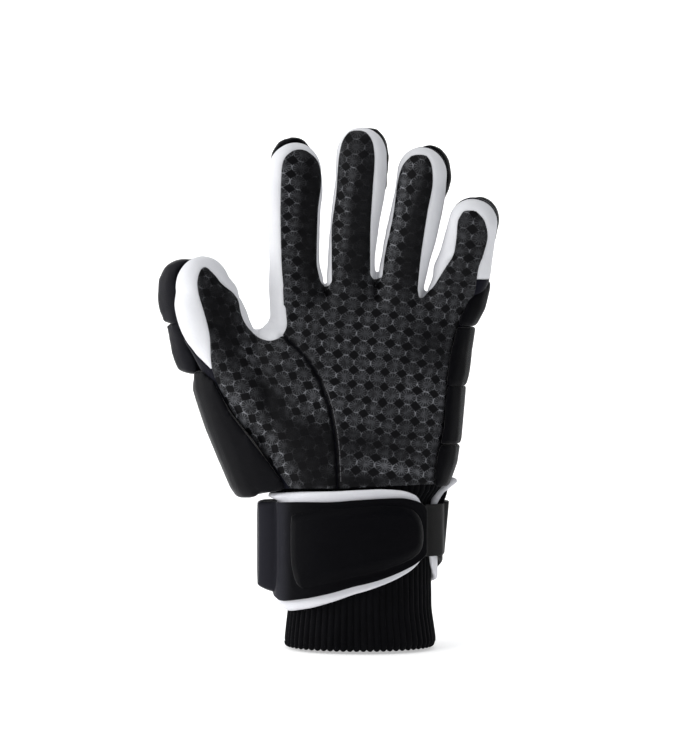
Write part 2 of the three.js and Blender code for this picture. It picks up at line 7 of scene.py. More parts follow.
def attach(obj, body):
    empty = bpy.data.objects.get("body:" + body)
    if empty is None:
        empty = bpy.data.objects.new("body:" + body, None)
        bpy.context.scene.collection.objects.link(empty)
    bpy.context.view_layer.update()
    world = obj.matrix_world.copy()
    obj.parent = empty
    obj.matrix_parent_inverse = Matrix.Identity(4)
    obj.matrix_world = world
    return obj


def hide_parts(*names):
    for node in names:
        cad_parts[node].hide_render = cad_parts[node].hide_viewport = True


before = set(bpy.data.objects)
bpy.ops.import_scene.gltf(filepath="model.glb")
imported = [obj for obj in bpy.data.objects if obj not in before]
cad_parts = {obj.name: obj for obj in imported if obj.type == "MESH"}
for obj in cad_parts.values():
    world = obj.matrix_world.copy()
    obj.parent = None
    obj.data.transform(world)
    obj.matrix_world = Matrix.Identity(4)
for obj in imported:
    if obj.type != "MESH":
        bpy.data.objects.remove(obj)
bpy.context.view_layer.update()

# Padded glove for a left hand, palm towards -Y, fingers up, thumb on the -X side.
# The tables are in millimetres and the mesh data in metres.
mm = 0.001
bpy.ops.object.select_all(action="DESELECT")


# General helpers

def activate(piece):
    bpy.ops.object.select_all(action="DESELECT")
    piece.select_set(True)
    bpy.context.view_layer.objects.active = piece


def newPiece(name, points, faces):
    mesh = bpy.data.meshes.new(name)
    faces = faces.tolist() if isinstance(faces, np.ndarray) else faces
    mesh.from_pydata((np.asarray(points, float) * mm).tolist(), [], faces)
    mesh.validate()
    piece = bpy.data.objects.new(name, mesh)
    bpy.context.scene.collection.objects.link(piece)
    activate(piece)
    bpy.ops.object.shade_smooth()
    return piece


def useModifier(piece, kind, **settings):
    activate(piece)
    bpy.ops.object.modifier_add(type=kind)
    modifier = piece.modifiers[-1]
    for key, value in settings.items():
        setattr(modifier, key, value)
    bpy.ops.object.modifier_apply(modifier=modifier.name)


def pointsOf(piece):
    flat = np.empty(len(piece.data.vertices) * 3)
    piece.data.vertices.foreach_get("co", flat)
    return flat.reshape(-1, 3) / mm


def setPoints(piece, points):
    piece.data.vertices.foreach_set("co", (points * mm).ravel())
    piece.data.update()


def normalsOf(piece):
    flat = np.empty(len(piece.data.vertices) * 3)
    piece.data.vertices.foreach_get("normal", flat)
    return flat.reshape(-1, 3)


def trianglesOf(piece):
    piece.data.calc_loop_triangles()
    flat = np.empty(len(piece.data.loop_triangles) * 3, dtype=np.int32)
    piece.data.loop_triangles.foreach_get("vertices", flat)
    return flat.reshape(-1, 3)


def faceOutwards(piece):
    activate(piece)
    bpy.ops.object.mode_set(mode="EDIT")
    bpy.ops.mesh.select_all(action="SELECT")
    bpy.ops.mesh.normals_make_consistent(inside=False)
    bpy.ops.object.mode_set(mode="OBJECT")
    return piece


def merged(parts):
    # several meshes of points and faces as one
    points, faces, start = [], [], 0
    for own, ownFaces in parts:
        points.append(own)
        faces += [[i + start for i in face] for face in ownFaces]
        start += len(own)
    return np.concatenate(points), faces


def softStep(t):
    return t * t * (3 - 2 * t)


def smoothColumn(knots, values, at):
    # a smooth curve through the table's values, without overshoot
    wide = np.diff(knots)
    slope = np.diff(values) / wide
    tangent = np.concatenate([slope[:1], np.zeros(len(slope) - 1), slope[-1:]])
    for k in range(1, len(slope)):
        if slope[k - 1] * slope[k] > 0:
            tangent[k] = 2 * slope[k - 1] * slope[k] / (slope[k - 1] + slope[k])
    k = np.clip(np.searchsorted(knots, at, side="right") - 1, 0, len(wide) - 1)
    t = (at - knots[k]) / wide[k]
    return (
        (2 * t**3 - 3 * t**2 + 1) * values[k]
        + (t**3 - 2 * t**2 + t) * wide[k] * tangent[k]
        + (3 * t**2 - 2 * t**3) * values[k + 1]
        + (t**3 - t**2) * wide[k] * tangent[k + 1]
    )


def smoothRows(rows, at):
    rows = np.asarray(rows, float)
    columns = [smoothColumn(rows[:, 0], rows[:, c], at) for c in range(rows.shape[1])]
    return np.stack(columns, axis=1)


def rowsAt(rows, heights):
    # a table's rows at any heights, with its end rows beyond its ends
    return smoothRows(rows, np.clip(heights, rows[0][0], rows[-1][0]))


def lengthAlong(line):
    return np.concatenate([[0], np.cumsum(np.linalg.norm(np.diff(line, axis=0), axis=1))])


def tubeFaces(rings, around):
    # quads between closed rings of points that lie one after another
    k, i = np.meshgrid(np.arange(rings - 1), np.arange(around), indexing="ij")
    a = (k * around + i).ravel()
    b = (k * around + (i + 1) % around).ravel()
    return np.stack([a, b, b + around, a + around], axis=1)


def loft(rings):
    # a closed solid through rings of points, with a fan over each end
    count, around = rings.shape[:2]
    points = np.concatenate([rings.reshape(-1, 3), rings[:1].mean(axis=1), rings[-1:].mean(axis=1)])
    faces = tubeFaces(count, around).tolist()
    last = (count - 1) * around
    for i in range(around):
        j = (i + 1) % around
        faces.append([j, i, count * around])
        faces.append([last + i, last + j, count * around + 1])
    return points, faces


def section(half, front, back, twist, count, power):
    angle = 2 * np.pi * (np.arange(count) + 0.5) / count
    c, s = np.cos(angle), np.sin(angle)
    x = half * np.sign(c) * np.abs(c) ** (2 / power)
    y = np.where(s < 0, front, back) * np.sign(s) * np.abs(s) ** (2 / power)
    turn = math.radians(twist)
    x, y = x * math.cos(turn) - y * math.sin(turn), x * math.sin(turn) + y * math.cos(turn)
    return np.stack([x * half / np.abs(x).max(), y], axis=1)


# Every digit: a centre line of rows (height, x, y, half its width, depth to the front, depth to the back)
digits = {
    "thumb": {
        "twist": 35, "dome": 14.5, "grip": -7,
        "split": [(140, -0.5), (155, 2.5), (168, 8), (181, 10.5), (191, 6), (204, 2.5)],
        "rows": [
            (106, -38, -2, 14, 18, 15), (128, -52.5, -3, 17.5, 17, 14), (147, -63.6, -5, 17.6, 15, 13),
            (162, -71.9, -7.5, 17.2, 13, 12), (168, -74.6, -8.8, 17.9, 12.5, 11.8),
            (175, -77.3, -10.5, 17.3, 12, 11.5), (182, -79.4, -12, 16.7, 11.5, 11),
            (189, -81.2, -13.5, 13.9, 11, 10.5),
        ],
    },
    "index": {
        "twist": 18, "dome": 16.2, "grip": -3,
        "split": [(165, 10), (182, 8), (196, 4.5), (238, 5.5), (252, 4), (264, 0.5)],
        "rows": [
            (160, -31, -1, 14, 11, 11), (186, -32.5, -1, 14.2, 11, 10.5), (201, -33.9, -1.5, 12.9, 10.5, 10),
            (226, -34.2, -3, 13.6, 10.5, 10), (238, -34, -3.8, 14.8, 10.5, 10),
            (246, -33.9, -4.5, 14, 10, 9.5),
        ],
    },
    "middle": {
        "twist": -13, "dome": 14, "grip": -3, "split": [(240, 4.5), (256, 3), (270, 0.5)],
        "rows": [
            (160, -5, -1, 12.8, 11, 11), (187, -4.7, -1, 12.7, 11, 10.5), (201, -4.4, -1.5, 12, 10.5, 10),
            (226, -1.8, -3, 12.6, 10.5, 10), (244, 0.6, -4.5, 13.1, 10.5, 9.5), (256, 1, -5.2, 12.9, 10, 9.5),
        ],
    },
    "ring": {
        "twist": -15, "dome": 14, "grip": -3, "split": [(234, 4.5), (246, 2.5), (260, -0.5)],
        "rows": [
            (155, 18, -1, 12, 11, 11), (187, 20.5, -1, 12.3, 11, 10.5), (201, 23.4, -1.5, 12.3, 10.5, 10),
            (214, 26.3, -2.5, 13, 10.5, 10), (236, 31, -4.5, 13, 10.5, 9.5), (246, 32.2, -5.2, 12.9, 10, 9.5),
        ],
    },
    "little": {
        "twist": -8, "dome": 12.2, "grip": -5, "split": [(205, 3), (222, 1), (234, -1.5)],
        "rows": [
            (150, 38, -1, 13, 11, 11), (175, 44, -1, 13, 11, 11), (186, 48.5, -1.5, 12.5, 10.5, 10),
            (193, 51.8, -2.5, 14.8, 10.5, 10), (205, 55, -5, 13.4, 10, 9.5), (222, 58.6, -9, 12.6, 9.5, 9),
        ],
    },
}

# The hand below the fingers: height, left, right, front, back
palmRows = [
    (84, -43, 41.5, -26.5, 25.5), (99, -50, 43.5, -26, 24), (114, -58, 47, -25, 22.5),
    (130, -62, 49.5, -23.5, 20.5), (147, -61, 51, -21.5, 19), (158, -58.5, 53.5, -19.5, 17.3),
    (163.5, -57, 55, -18, 16.7), (165.8, -54.6, 55.5, -17.3, 16.2), (166.8, -50.2, 55.7, -17, 16),
    (168, -48, 56, -16.5, 15.7), (170, -46.7, 56.3, -15.7, 15), (172.5, -45.9, 56.8, -14.5, 14),
    (176, -44.6, 57, -13, 12.5), (181, -42, 55, -8, 8),
]

body = {
    "bottom": 84,      # lower edge of the leather
    "foot": 70,        # how far down the solid runs on below it
    "power": 2.5,      # how square the digits' sections are
    "around": 56,
    "palmPower": 2.8,
    "palmAround": 96,
    "voxel": 0.9,      # fineness of the skin
    "softness": 9,     # rounds of smoothing where the digits grow together
    "thickness": 1.1,
    "overlap": 1.2,    # how far the cloth runs on under the leather
    # the lower edge rises towards the little finger's side
    "slant": {"from": -8, "over": 42, "by": 2.2},
    # size, seed and height of the surface's slight unevenness
    "uneven": [(14, 3, 0.22), (5, 4, 0.06)],
}


def stationsOf(digit, step=2.5, domeSteps=12):
    rows = digit["rows"]
    heights = np.linspace(rows[0][0], rows[-1][0], int((rows[-1][0] - rows[0][0]) / step) + 1)
    table = smoothRows(rows, heights)
    middle = table[:, [1, 2, 0]]
    along = np.gradient(middle, axis=0)
    along /= np.linalg.norm(along, axis=1)[:, None]
    share = np.ones(len(middle))
    sizes = table[:, 3:]
    angle = (np.arange(1, domeSteps + 1) - 0.15) / domeSteps * np.pi / 2
    tip = middle[-1] + along[-1] * (digit["dome"] * np.sin(angle))[:, None]
    middle = np.concatenate([middle, tip])
    along = np.concatenate([along, np.repeat(along[-1:], domeSteps, axis=0)])
    share = np.concatenate([share, np.cos(angle)])
    sizes = np.concatenate([sizes, np.repeat(sizes[-1:], domeSteps, axis=0)])
    across = np.stack([along[:, 2], 0 * along[:, 0], -along[:, 0]], axis=1)
    across /= np.linalg.norm(across, axis=1)[:, None]
    back = np.cross(along, across)
    return {"middle": middle, "along": along, "across": across, "back": back, "share": share, "sizes": sizes}


def digitSolid(digit):
    s = stationsOf(digit)
    rings = []
    for k in range(len(s["middle"])):
        flat = section(*s["sizes"][k], digit["twist"], body["around"], body["power"]) * s["share"][k]
        rings.append(s["middle"][k] + flat[:, :1] * s["across"][k] + flat[:, 1:] * s["back"][k])
    return loft(np.array(rings))


def palmSolid():
    heights = np.concatenate([[body["foot"]], np.linspace(palmRows[0][0], palmRows[-1][0], 50)])
    rings = []
    for z, (_, left, right, front, back) in zip(heights, rowsAt(palmRows, heights)):
        deep = (back - front) / 2
        flat = section((right - left) / 2, deep, deep, 0, body["palmAround"], body["palmPower"])
        flat = flat + np.array([(left + right) / 2, (front + back) / 2])
        rings.append(np.concatenate([flat, np.full((len(flat), 1), z)], axis=1))
    return loft(np.array(rings))


def handSkin():
    points, faces = merged([palmSolid()] + [digitSolid(digit) for digit in digits.values()])
    skin = bpy.data.objects.new("handSkin", bpy.data.meshes.new("handSkin"))
    skin.data.from_pydata((points * mm).tolist(), [], faces)
    bpy.context.scene.collection.objects.link(skin)
    useModifier(skin, "REMESH", mode="VOXEL", voxel_size=body["voxel"] * mm, use_smooth_shade=True)
    useModifier(skin, "SMOOTH", factor=0.5, iterations=body["softness"])
    return skin


# The outlines of the leather, seen from the front (x, z)
thumbSeam = [
    (-11.5, 76), (-11.7, 90), (-12.3, 104), (-13.6, 115), (-15.6, 125), (-18.3, 133), (-22, 142.5),
    (-27, 150.5), (-34, 158), (-38.3, 161.8), (-40, 163),
]
thumbOuterEdge = [
    (-42.3, 161.2), (-46.5, 159.9), (-51.2, 161.2), (-54.6, 163.7), (-57.8, 167.1), (-60.1, 170.8),
    (-61.7, 176), (-62.3, 180.5), (-65.2, 185.1), (-68.8, 187.6), (-72, 190.4), (-74, 193.5), (-80.5, 199.8),
    (-84, 192), (-83.2, 184), (-79.6, 173), (-77, 162.5), (-77, 150), (-75.5, 142), (-65, 122),
    (-56.5, 111.5), (-46.5, 99), (-36, 84), (-30, 76),
]
palmOuterEdge = [
    (-39.3, 164), (-38, 166.5), (-37.6, 169.5), (-38.1, 174), (-38.7, 180), (-39.2, 190), (-20, 190),
    (-17.5, 187.5), (-14.5, 190), (4.5, 194), (7.5, 191.3), (11, 193), (28.6, 188), (30.9, 180),
    (38.9, 189.8), (60.5, 191.5), (55.5, 179), (51, 169.5), (47, 154), (44.5, 135), (43, 115.5), (39, 96),
    (38.5, 84), (38.5, 76),
]
fingerStrips = {
    "index": [
        (178, -39, -19.5), (185, -39.3, -19.5), (201, -40.5, -22.3), (226, -41, -21.7), (242, -40.7, -20),
        (251, -40.1, -21), (255.7, -37.8, -24.3), (258.6, -33.6, -28.6),
    ],
    "middle": [
        (178, -14.5, 5), (187, -14.5, 5.2), (214, -14.6, 5.4), (238, -12, 6.7), (254, -10.9, 7.7),
        (263.5, -8.8, 6.4), (268.3, -4.6, 2.3),
    ],
    "ring": [
        (178, 9, 28.6), (186, 10.8, 29.6), (201, 12.3, 31.15), (226, 17.3, 34.8), (243, 19.7, 37.6),
        (251, 22.2, 36.9), (255.9, 27.2, 34),
    ],
    "little": [
        (178, 36.3, 57), (187, 37.9, 59.5), (197, 43.4, 61), (205, 48.2, 63.8), (214, 49.6, 65.8),
        (221.5, 50.2, 64.3), (227.2, 53.4, 59.4),
    ],
}
clothZones = {
    "thumb": [(-77, 145.4), (-100, 168), (-115, 215), (-51, 215), (-51, 167), (-60, 150)],
    "index": [
        (-60, 150), (-51, 167), (-51, 215), (-60, 280), (-16.5, 280), (-17.5, 184), (-33, 172),
        (-38.6, 163.6), (-42, 150),
    ],
    "middle": [(-17.5, 184), (-16.5, 280), (21, 280), (16, 246), (11.5, 214), (8, 186)],
    "ring": [
        (8, 186), (11.5, 214), (16, 246), (21, 280), (50, 280), (47, 233), (41.5, 214), (36.8, 197),
        (32, 177),
    ],
    "little": [
        (32, 177), (36.8, 197), (41.5, 214), (47, 233), (50, 255), (90, 255), (90, 191.5), (58, 191.5),
    ],
}


def quartered(here, after):
    # the first and the third quarter of the way from each point to the next
    return np.stack([here * 0.75 + after * 0.25, here * 0.25 + after * 0.75], axis=1).reshape(-1, 2)


def cornersCut(outline, rounds):
    # a closed outline with its corners cut again and again, which rounds them
    outline = np.asarray(outline, float)
    for _ in range(rounds):
        outline = quartered(outline, np.roll(outline, -1, axis=0))
    return outline


def stripOutline(rows):
    heights = np.linspace(rows[0][0], rows[-1][0], 30)
    table = smoothRows(rows, heights)
    left = table[:, [1, 0]]
    right = table[::-1][:, [2, 0]]
    return cornersCut(np.concatenate([left, right]), 1)


def squareFrom(x, z, start, end):
    # seen from the front: the squared distance of points from a straight line between two places
    dx, dz = end[0] - start[0], end[1] - start[1]
    t = np.clip(((x - start[0]) * dx + (z - start[1]) * dz) / (dx * dx + dz * dz), 0, 1)
    return (x - start[0] - t * dx) ** 2 + (z - start[1] - t * dz) ** 2


def insideBy(points, outline):
    # how far points lie inside an outline seen from the front, less than 0 outside
    x, z = points[:, 0], points[:, 2]
    best = np.full(len(points), 1e9)
    crossings = np.zeros(len(points), int)
    for start, end in zip(outline, np.roll(outline, -1, axis=0)):
        if math.dist(start, end) < 1e-5:
            continue
        best = np.minimum(best, squareFrom(x, z, start, end))
        if start[1] != end[1]:
            over = (start[1] > z) != (end[1] > z)
            crossings += over & (x < start[0] + (z - start[1]) * (end[0] - start[0]) / (end[1] - start[1]))
    return np.sqrt(best) * np.where(crossings % 2 == 1, 1, -1)


def softMax(a, b, soft):
    h = np.maximum(soft - np.abs(a - b), 0) / soft
    return np.maximum(a, b) + h * h * soft / 4


def softMin(a, b, soft):
    return -softMax(-a, -b, soft)


outlines = {
    "palm": cornersCut(thumbSeam + palmOuterEdge, 2),
    "thumb": cornersCut(thumbSeam + thumbOuterEdge, 2),
    "strips": {name: stripOutline(rows) for name, rows in fingerStrips.items()},
    "zones": {name: np.array(zone, float) for name, zone in clothZones.items()},
}


def thumbLeatherField(points):
    return softMin(insideBy(points, outlines["thumb"]), digits["thumb"]["grip"] - points[:, 1], 1.5)


def palmLeatherField(points):
    field = softMin(insideBy(points, outlines["palm"]), -2 - points[:, 1], 1.5)
    for name, outline in outlines["strips"].items():
        strip = softMin(insideBy(points, outline), digits[name]["grip"] - points[:, 1], 1.5)
        field = softMax(field, strip, 2)
    return field


def localTo(points, digit):
    # the digit's stations, the nearest one to each point, and the point's place seen from it: across and
    # along the digit, and then to the side and to the back in axes turned by the digit's twist
    s = stationsOf(digit)
    best = np.full(len(points), 1e9)
    near = np.zeros(len(points), int)
    for k in range(len(s["middle"])):
        off = np.abs((points - s["middle"][k]) @ s["along"][k])
        near = np.where(off < best, k, near)
        best = np.minimum(best, off)
    away = points - s["middle"][near]
    across, back, along = [(away * s[axis][near]).sum(axis=1) for axis in ("across", "back", "along")]
    turn = math.radians(digit["twist"])
    turned = across * math.cos(turn) + back * math.sin(turn), back * math.cos(turn) - across * math.sin(turn)
    return s, near, across, along, *turned


def clothField(points, name):
    heights, depths = np.transpose(digits[name]["split"])
    split = np.interp(points[:, 2], heights, depths)
    depth = localTo(points, digits[name])[-1]
    return np.minimum(insideBy(points, outlines["zones"][name]), split - depth)


def cutAlong(values, triangles, level):
    # cuts triangles where the last column of values is at the level; tells which of them lie above it
    field = values[:, -1] - level
    positive = field > 0
    count = positive[triangles].sum(axis=1)
    whole = (count == 0) | (count == 3)
    mixed = triangles[~whole]
    signs = positive[mixed]
    lone = np.where(signs.sum(axis=1) == 1, signs.argmax(axis=1), (~signs).argmax(axis=1))
    rows = np.arange(len(mixed))
    a, b, c = mixed[rows, lone], mixed[rows, (lone + 1) % 3], mixed[rows, (lone + 2) % 3]
    edges = np.concatenate([np.stack([a, b], axis=1), np.stack([a, c], axis=1)])
    edges.sort(axis=1)
    unique, which = np.unique(edges, axis=0, return_inverse=True)
    which = which.ravel() + len(values)
    low, high = field[unique[:, 0]], field[unique[:, 1]]
    t = np.clip(low / np.where(low == high, 1, low - high), 0.02, 0.98)[:, None]
    values = np.concatenate([values, values[unique[:, 0]] * (1 - t) + values[unique[:, 1]] * t])
    p, q = which[: len(mixed)], which[len(mixed):]
    cut = [np.stack([a, p, q], axis=1), np.stack([p, b, c], axis=1), np.stack([p, c, q], axis=1)]
    sides = np.concatenate([count[whole] == 3, positive[a], ~positive[a], ~positive[a]])
    return values, np.concatenate([triangles[whole], *cut]), sides


def patchOf(field, bands=()):
    # the part of the skin where the field is positive, with extra rows of points along its edge
    values = np.concatenate([skin["points"], skin["normals"], field[:, None]], axis=1)
    near = (field > 0)[skin["triangles"]].any(axis=1)
    values, triangles, side = cutAlong(values, skin["triangles"][near], 0)
    triangles = triangles[side]
    for level in bands:
        values, triangles, _ = cutAlong(values, triangles, level)
    used, triangles = np.unique(triangles, return_inverse=True)
    values = values[used]
    normals = values[:, 3:6] / np.linalg.norm(values[:, 3:6], axis=1)[:, None]
    return values[:, :3], normals, triangles.reshape(-1, 3)


def edgeDistance(points, triangles):
    # distance of every point from the patch's edge
    edges = np.concatenate([triangles[:, [0, 1]], triangles[:, [1, 2]], triangles[:, [2, 0]]])
    edges.sort(axis=1)
    unique, counts = np.unique(edges, axis=0, return_counts=True)
    rim = unique[counts == 1]
    start, end = points[rim[:, 0]], points[rim[:, 1]]
    marks = np.concatenate([start * (1 - t) + end * t for t in (0, 0.25, 0.5, 0.75)])
    tree = kdtree.KDTree(len(marks))
    for i, mark in enumerate(marks):
        tree.insert(mark, i)
    tree.balance()
    return np.array([tree.find(point)[2] for point in points])


def roll(distance, radius):
    # height of a rolled edge, 0 at the edge and 1 from the radius inwards
    return np.sqrt(1 - (1 - np.clip(distance / radius, 0, 1)) ** 2)


def noiseAt(points, size, seed=0):
    offset = Vector((seed * 17.3, seed * 5.7, seed * 9.1))
    return np.array([noise.noise(Vector(point) / size + offset) for point in points])


# Folds pressed into the leather and cloth: from (x, z), to (x, z), depth, width
creases = [
    ((44, 200), (62, 206), 0.9, 1.4),
    ((45, 209), (60, 211.5), 0.35, 1.6),
    ((-44, 220), (-22, 217), 0.4, 1.8),
    ((-42, 240), (-22, 237), 0.25, 1.8),
    ((-15, 218), (6, 215), 0.4, 1.8),
    ((-12, 243), (9, 240), 0.25, 1.8),
    ((13, 214), (34, 210), 0.4, 1.8),
    ((18, 236), (38, 232), 0.25, 1.8),
    ((-75, 192), (-62, 182), 0.9, 1.3),
    ((-80, 170), (-60, 166), 0.4, 2.2),
    ((-58, 167), (-40, 150), 0.5, 2.6),
]
# the soft swelling along both sides of a crease, beside the crease's own width and depth
swelling = {"away": 2.4, "wide": 1.4, "share": 0.35}
seamGroove = {"deep": 1.9, "wide": 1.9}


def seamDistance(points):
    best = np.full(len(points), 1e9)
    for start, end in zip(thumbSeam[:-1], thumbSeam[1:]):
        best = np.minimum(best, squareFrom(points[:, 0], points[:, 2], start, end))
    return np.where(points[:, 1] < 0, np.sqrt(best), 99)


def pressed(points, normals):
    # the creases, the groove of the thumb's seam and a slight unevenness
    depth = sum(noiseAt(points, size, seed) * high for size, seed, high in body["uneven"])
    depth -= seamGroove["deep"] * np.exp(-((seamDistance(points) / seamGroove["wide"]) ** 2))
    x, z = points[:, 0], points[:, 2]
    for (ax, az), (bx, bz), deep, wide in creases:
        dx, dz = bx - ax, bz - az
        t = ((x - ax) * dx + (z - az) * dz) / (dx * dx + dz * dz)
        away = ((x - ax) * dz - (z - az) * dx) / math.hypot(dx, dz)
        fade = np.clip(np.minimum(t, 1 - t) * 5 + 0.4, 0, 1) * (points[:, 1] < 2)
        beside = np.abs(away) - swelling["away"] * wide
        swell = swelling["share"] * np.exp(-((beside / (swelling["wide"] * wide)) ** 2))
        depth = depth - deep * (np.exp(-((away / wide) ** 2)) - swell) * fade
    return points + normals * depth[:, None]


def makeSkin():
    piece = handSkin()
    normals = normalsOf(piece)
    made = {"points": pressed(pointsOf(piece), normals), "normals": normals, "triangles": trianglesOf(piece)}
    bpy.data.objects.remove(piece)
    return made


skin = makeSkin()
print("skin of the hand made,", len(skin["points"]), "points")

slant = body["slant"]
hem = skin["points"][:, 2] - body["bottom"]
hem -= slant["by"] * np.clip((skin["points"][:, 0] - slant["from"]) / slant["over"], 0, 1)
thumbField = thumbLeatherField(skin["points"])
palmField = palmLeatherField(skin["points"])
leatherField = np.maximum(thumbField, palmField)
clothFields = {name: clothField(skin["points"], name) for name in digits}
print("outlines measured on the skin")

# The leather lies raised on the cloth, with its edges rolled in, and puckers beside the thumb's seam.
leather = {
    "rise": 0.55, "sink": 0.35, "roll": 1.3, "bands": (0.25, 0.7, 1.3), "pucker": 0.3, "puckerSize": 1.6,
    "puckerWide": 7,
}
# How it is laid flat: the depth of the rounded front halves beside their half width, the height up to which
# the palm's rows are used, where the fingers' own layouts take over, and the grid of the thumb's layout
laidFlat = {
    "palmDeep": 0.42, "fingerDeep": 0.8, "sideMost": 0.97, "palmTop": 172, "start": 180, "over": 16,
    "gridX": (-95, 1), "gridZ": (74, 216), "steepest": 1.4,
}


def frontLine(deep, power, half=1.0):
    # a rounded section's front half as angles and the distances along it from its foremost point
    angle = np.linspace(-np.pi, 0, 361)
    x = np.sign(np.cos(angle)) * np.abs(np.cos(angle)) ** (2 / power) * half
    y = -deep * np.abs(np.sin(angle)) ** (2 / power)
    length = lengthAlong(np.stack([x, y], axis=1))
    return angle, x, y, length - length[180]


def palmFlat(points):
    rows = rowsAt(palmRows, np.minimum(points[:, 2], laidFlat["palmTop"]))
    middle, half = (rows[:, 1] + rows[:, 2]) / 2, (rows[:, 2] - rows[:, 1]) / 2
    _, x, _, length = frontLine(laidFlat["palmDeep"], body["palmPower"])
    share = np.clip((points[:, 0] - middle) / half, -laidFlat["sideMost"], laidFlat["sideMost"])
    return np.stack([middle + half * np.interp(share, x, length), points[:, 2]], axis=1)


def digitFlat(points, digit):
    # the flat layout along a digit, and how far each point lies to the side of its centre line
    turn = math.radians(digit["twist"])
    angle, x, y, length = frontLine(laidFlat["fingerDeep"], body["power"])
    foremost = np.argmin(x * math.sin(turn) + y * math.cos(turn))
    shift = x[foremost] * math.cos(turn) - y[foremost] * math.sin(turn) - length[foremost]
    s, near, across, along, side, depth = localTo(points, digit)
    half, front = (s["sizes"][:, :2] * np.maximum(s["share"], 0.3)[:, None])[near].T
    forwards = np.abs(np.minimum(depth, 0) / front) ** (body["power"] / 2)
    right = np.sign(side) * np.abs(side / half) ** (body["power"] / 2)
    arc = half * (np.interp(np.arctan2(-forwards, right), angle, length) + shift)
    middle, sideways, upwards = [s[key][near][:, [0, 2]] for key in ("middle", "across", "along")]
    return middle + arc[:, None] * sideways + along[:, None] * upwards, np.abs(across)


def thumbFlat(points):
    # the skin's front on a grid of one millimetre, unrolled row by row from the thumb's centre line
    x, z = np.arange(*laidFlat["gridX"]), np.arange(*laidFlat["gridZ"])
    front = np.full((len(z), len(x)), 4.0)
    column = np.rint(skin["points"][:, 0] - x[0]).astype(int)
    row = np.rint(skin["points"][:, 2] - z[0]).astype(int)
    on = (column >= 0) & (column < len(x)) & (row >= 0) & (row < len(z))
    np.minimum.at(front, (row[on], column[on]), skin["points"][on, 1])
    for axis in (0, 1, 0, 1, 0, 1):
        front = (front + np.roll(front, 1, axis) + np.roll(front, -1, axis)) / 3
    slope = np.clip(np.gradient(front, axis=1), -laidFlat["steepest"], laidFlat["steepest"])
    length = np.cumsum(np.sqrt(1 + slope * slope), axis=1)
    centre = rowsAt(digits["thumb"]["rows"], z)[:, 1]
    length -= np.array([np.interp(c, x, row) - c for c, row in zip(centre, length)])[:, None]
    px = np.clip(points[:, 0] - x[0], 0, len(x) - 1.001)
    pz = np.clip(points[:, 2] - z[0], 0, len(z) - 1.001)
    i, j = px.astype(int), pz.astype(int)
    s, t = px - i, pz - j
    low = length[j, i] * (1 - s) + length[j, i + 1] * s
    high = length[j + 1, i] * (1 - s) + length[j + 1, i + 1] * s
    return np.stack([low * (1 - t) + high * t, points[:, 2]], axis=1)


def palmAndFingersFlat(points):
    # where every point of the leather lies before it is wrapped round the hand
    flat = palm = palmFlat(points)
    closest = np.full(len(points), 1e9)
    for name in fingerStrips:
        own, side = digitFlat(points, digits[name])
        weight = softStep(np.clip((points[:, 2] - laidFlat["start"]) / laidFlat["over"], 0, 1))[:, None]
        flat = np.where((side < closest)[:, None], palm * (1 - weight) + own * weight, flat)
        closest = np.minimum(closest, side)
    return flat


# Where the emboss is faded by painted shade (less than 0) or shows brighter as a painted highlight, as light
# falls off or onto the leather's folds: x, z, half the place's width and height, its turn in degrees, how
# strongly
paintedLightPlaces = [
    (36, 160, 13, 12, -20, -0.6), (3, 107, 26, 7, -8, -0.6), (-26, 103, 12, 17, 12, -1.1),
    (-46, 130, 6, 18, 28, -0.9), (-74, 178, 11, 20, 8, -0.8), (-66, 155, 6, 15, 12, -0.5),
    (-25, 218, 7.5, 42, 0, -1.1), (1.5, 222, 8, 42, -7, -1.1), (29.5, 216, 6.5, 38, -12, -1.1),
    (58, 205, 7, 20, -20, -0.4), (-5, 88, 26, 3, 0, -0.9), (-19, 133, 9, 8, 0, 0.7),
    (33, 130, 13, 8, -12, 0.4), (20, 94.5, 15, 2.6, -12, 1.3), (-55, 150, 3, 9, 30, 0.7),
    (-63, 125, 4, 12, 26, 0.6), (-40, 97, 4, 14, 34, 0.5), (-5, 172, 24, 13, -8, 0.3),
    (-37, 235, 3.5, 26, 0, 0.4), (-9, 225, 4, 30, -7, 0.2), (20, 225, 4, 30, -12, 0.6),
]
# how much the emboss shows, as painted light: evenly, the places' share, least, most, and in the thumb's
# seam, where painted shade leaves it near black, over how wide
paintedLightOnEmboss = {"evenly": 0.6, "share": 0.75, "least": 0.05, "most": 1.3, "paintedSeamShade": 0.1, "seamWide": 1.6}


def paintedLightAt(points):
    # painted shade and painted highlight on the emboss, place by place
    shown = np.full(len(points), paintedLightOnEmboss["evenly"])
    for x, z, wide, tall, turn, change in paintedLightPlaces:
        c, s = math.cos(math.radians(turn)), math.sin(math.radians(turn))
        right, up = points[:, 0] - x, points[:, 2] - z
        along, square = right * c + up * s, up * c - right * s
        shown += change * paintedLightOnEmboss["share"] * np.exp(-((along / wide) ** 2) - (square / tall) ** 2)
    # painted shade in the seam's groove: the emboss fades there to the near black between its wheels
    paintedSeamShade = np.exp(-((seamDistance(points) / paintedLightOnEmboss["seamWide"]) ** 4))
    shown = np.clip(shown, paintedLightOnEmboss["least"], paintedLightOnEmboss["most"])
    return shown * (1 - (1 - paintedLightOnEmboss["paintedSeamShade"]) * paintedSeamShade)


def setFlat(piece, flat):
    # one unit of the piece's own map is a tenth of a metre
    layer = piece.data.uv_layers.new(name="leatherFlat")
    corner = np.empty(len(piece.data.loops), dtype=np.int32)
    piece.data.loops.foreach_get("vertex_index", corner)
    layer.data.foreach_set("uv", (flat[corner] / 100).ravel())


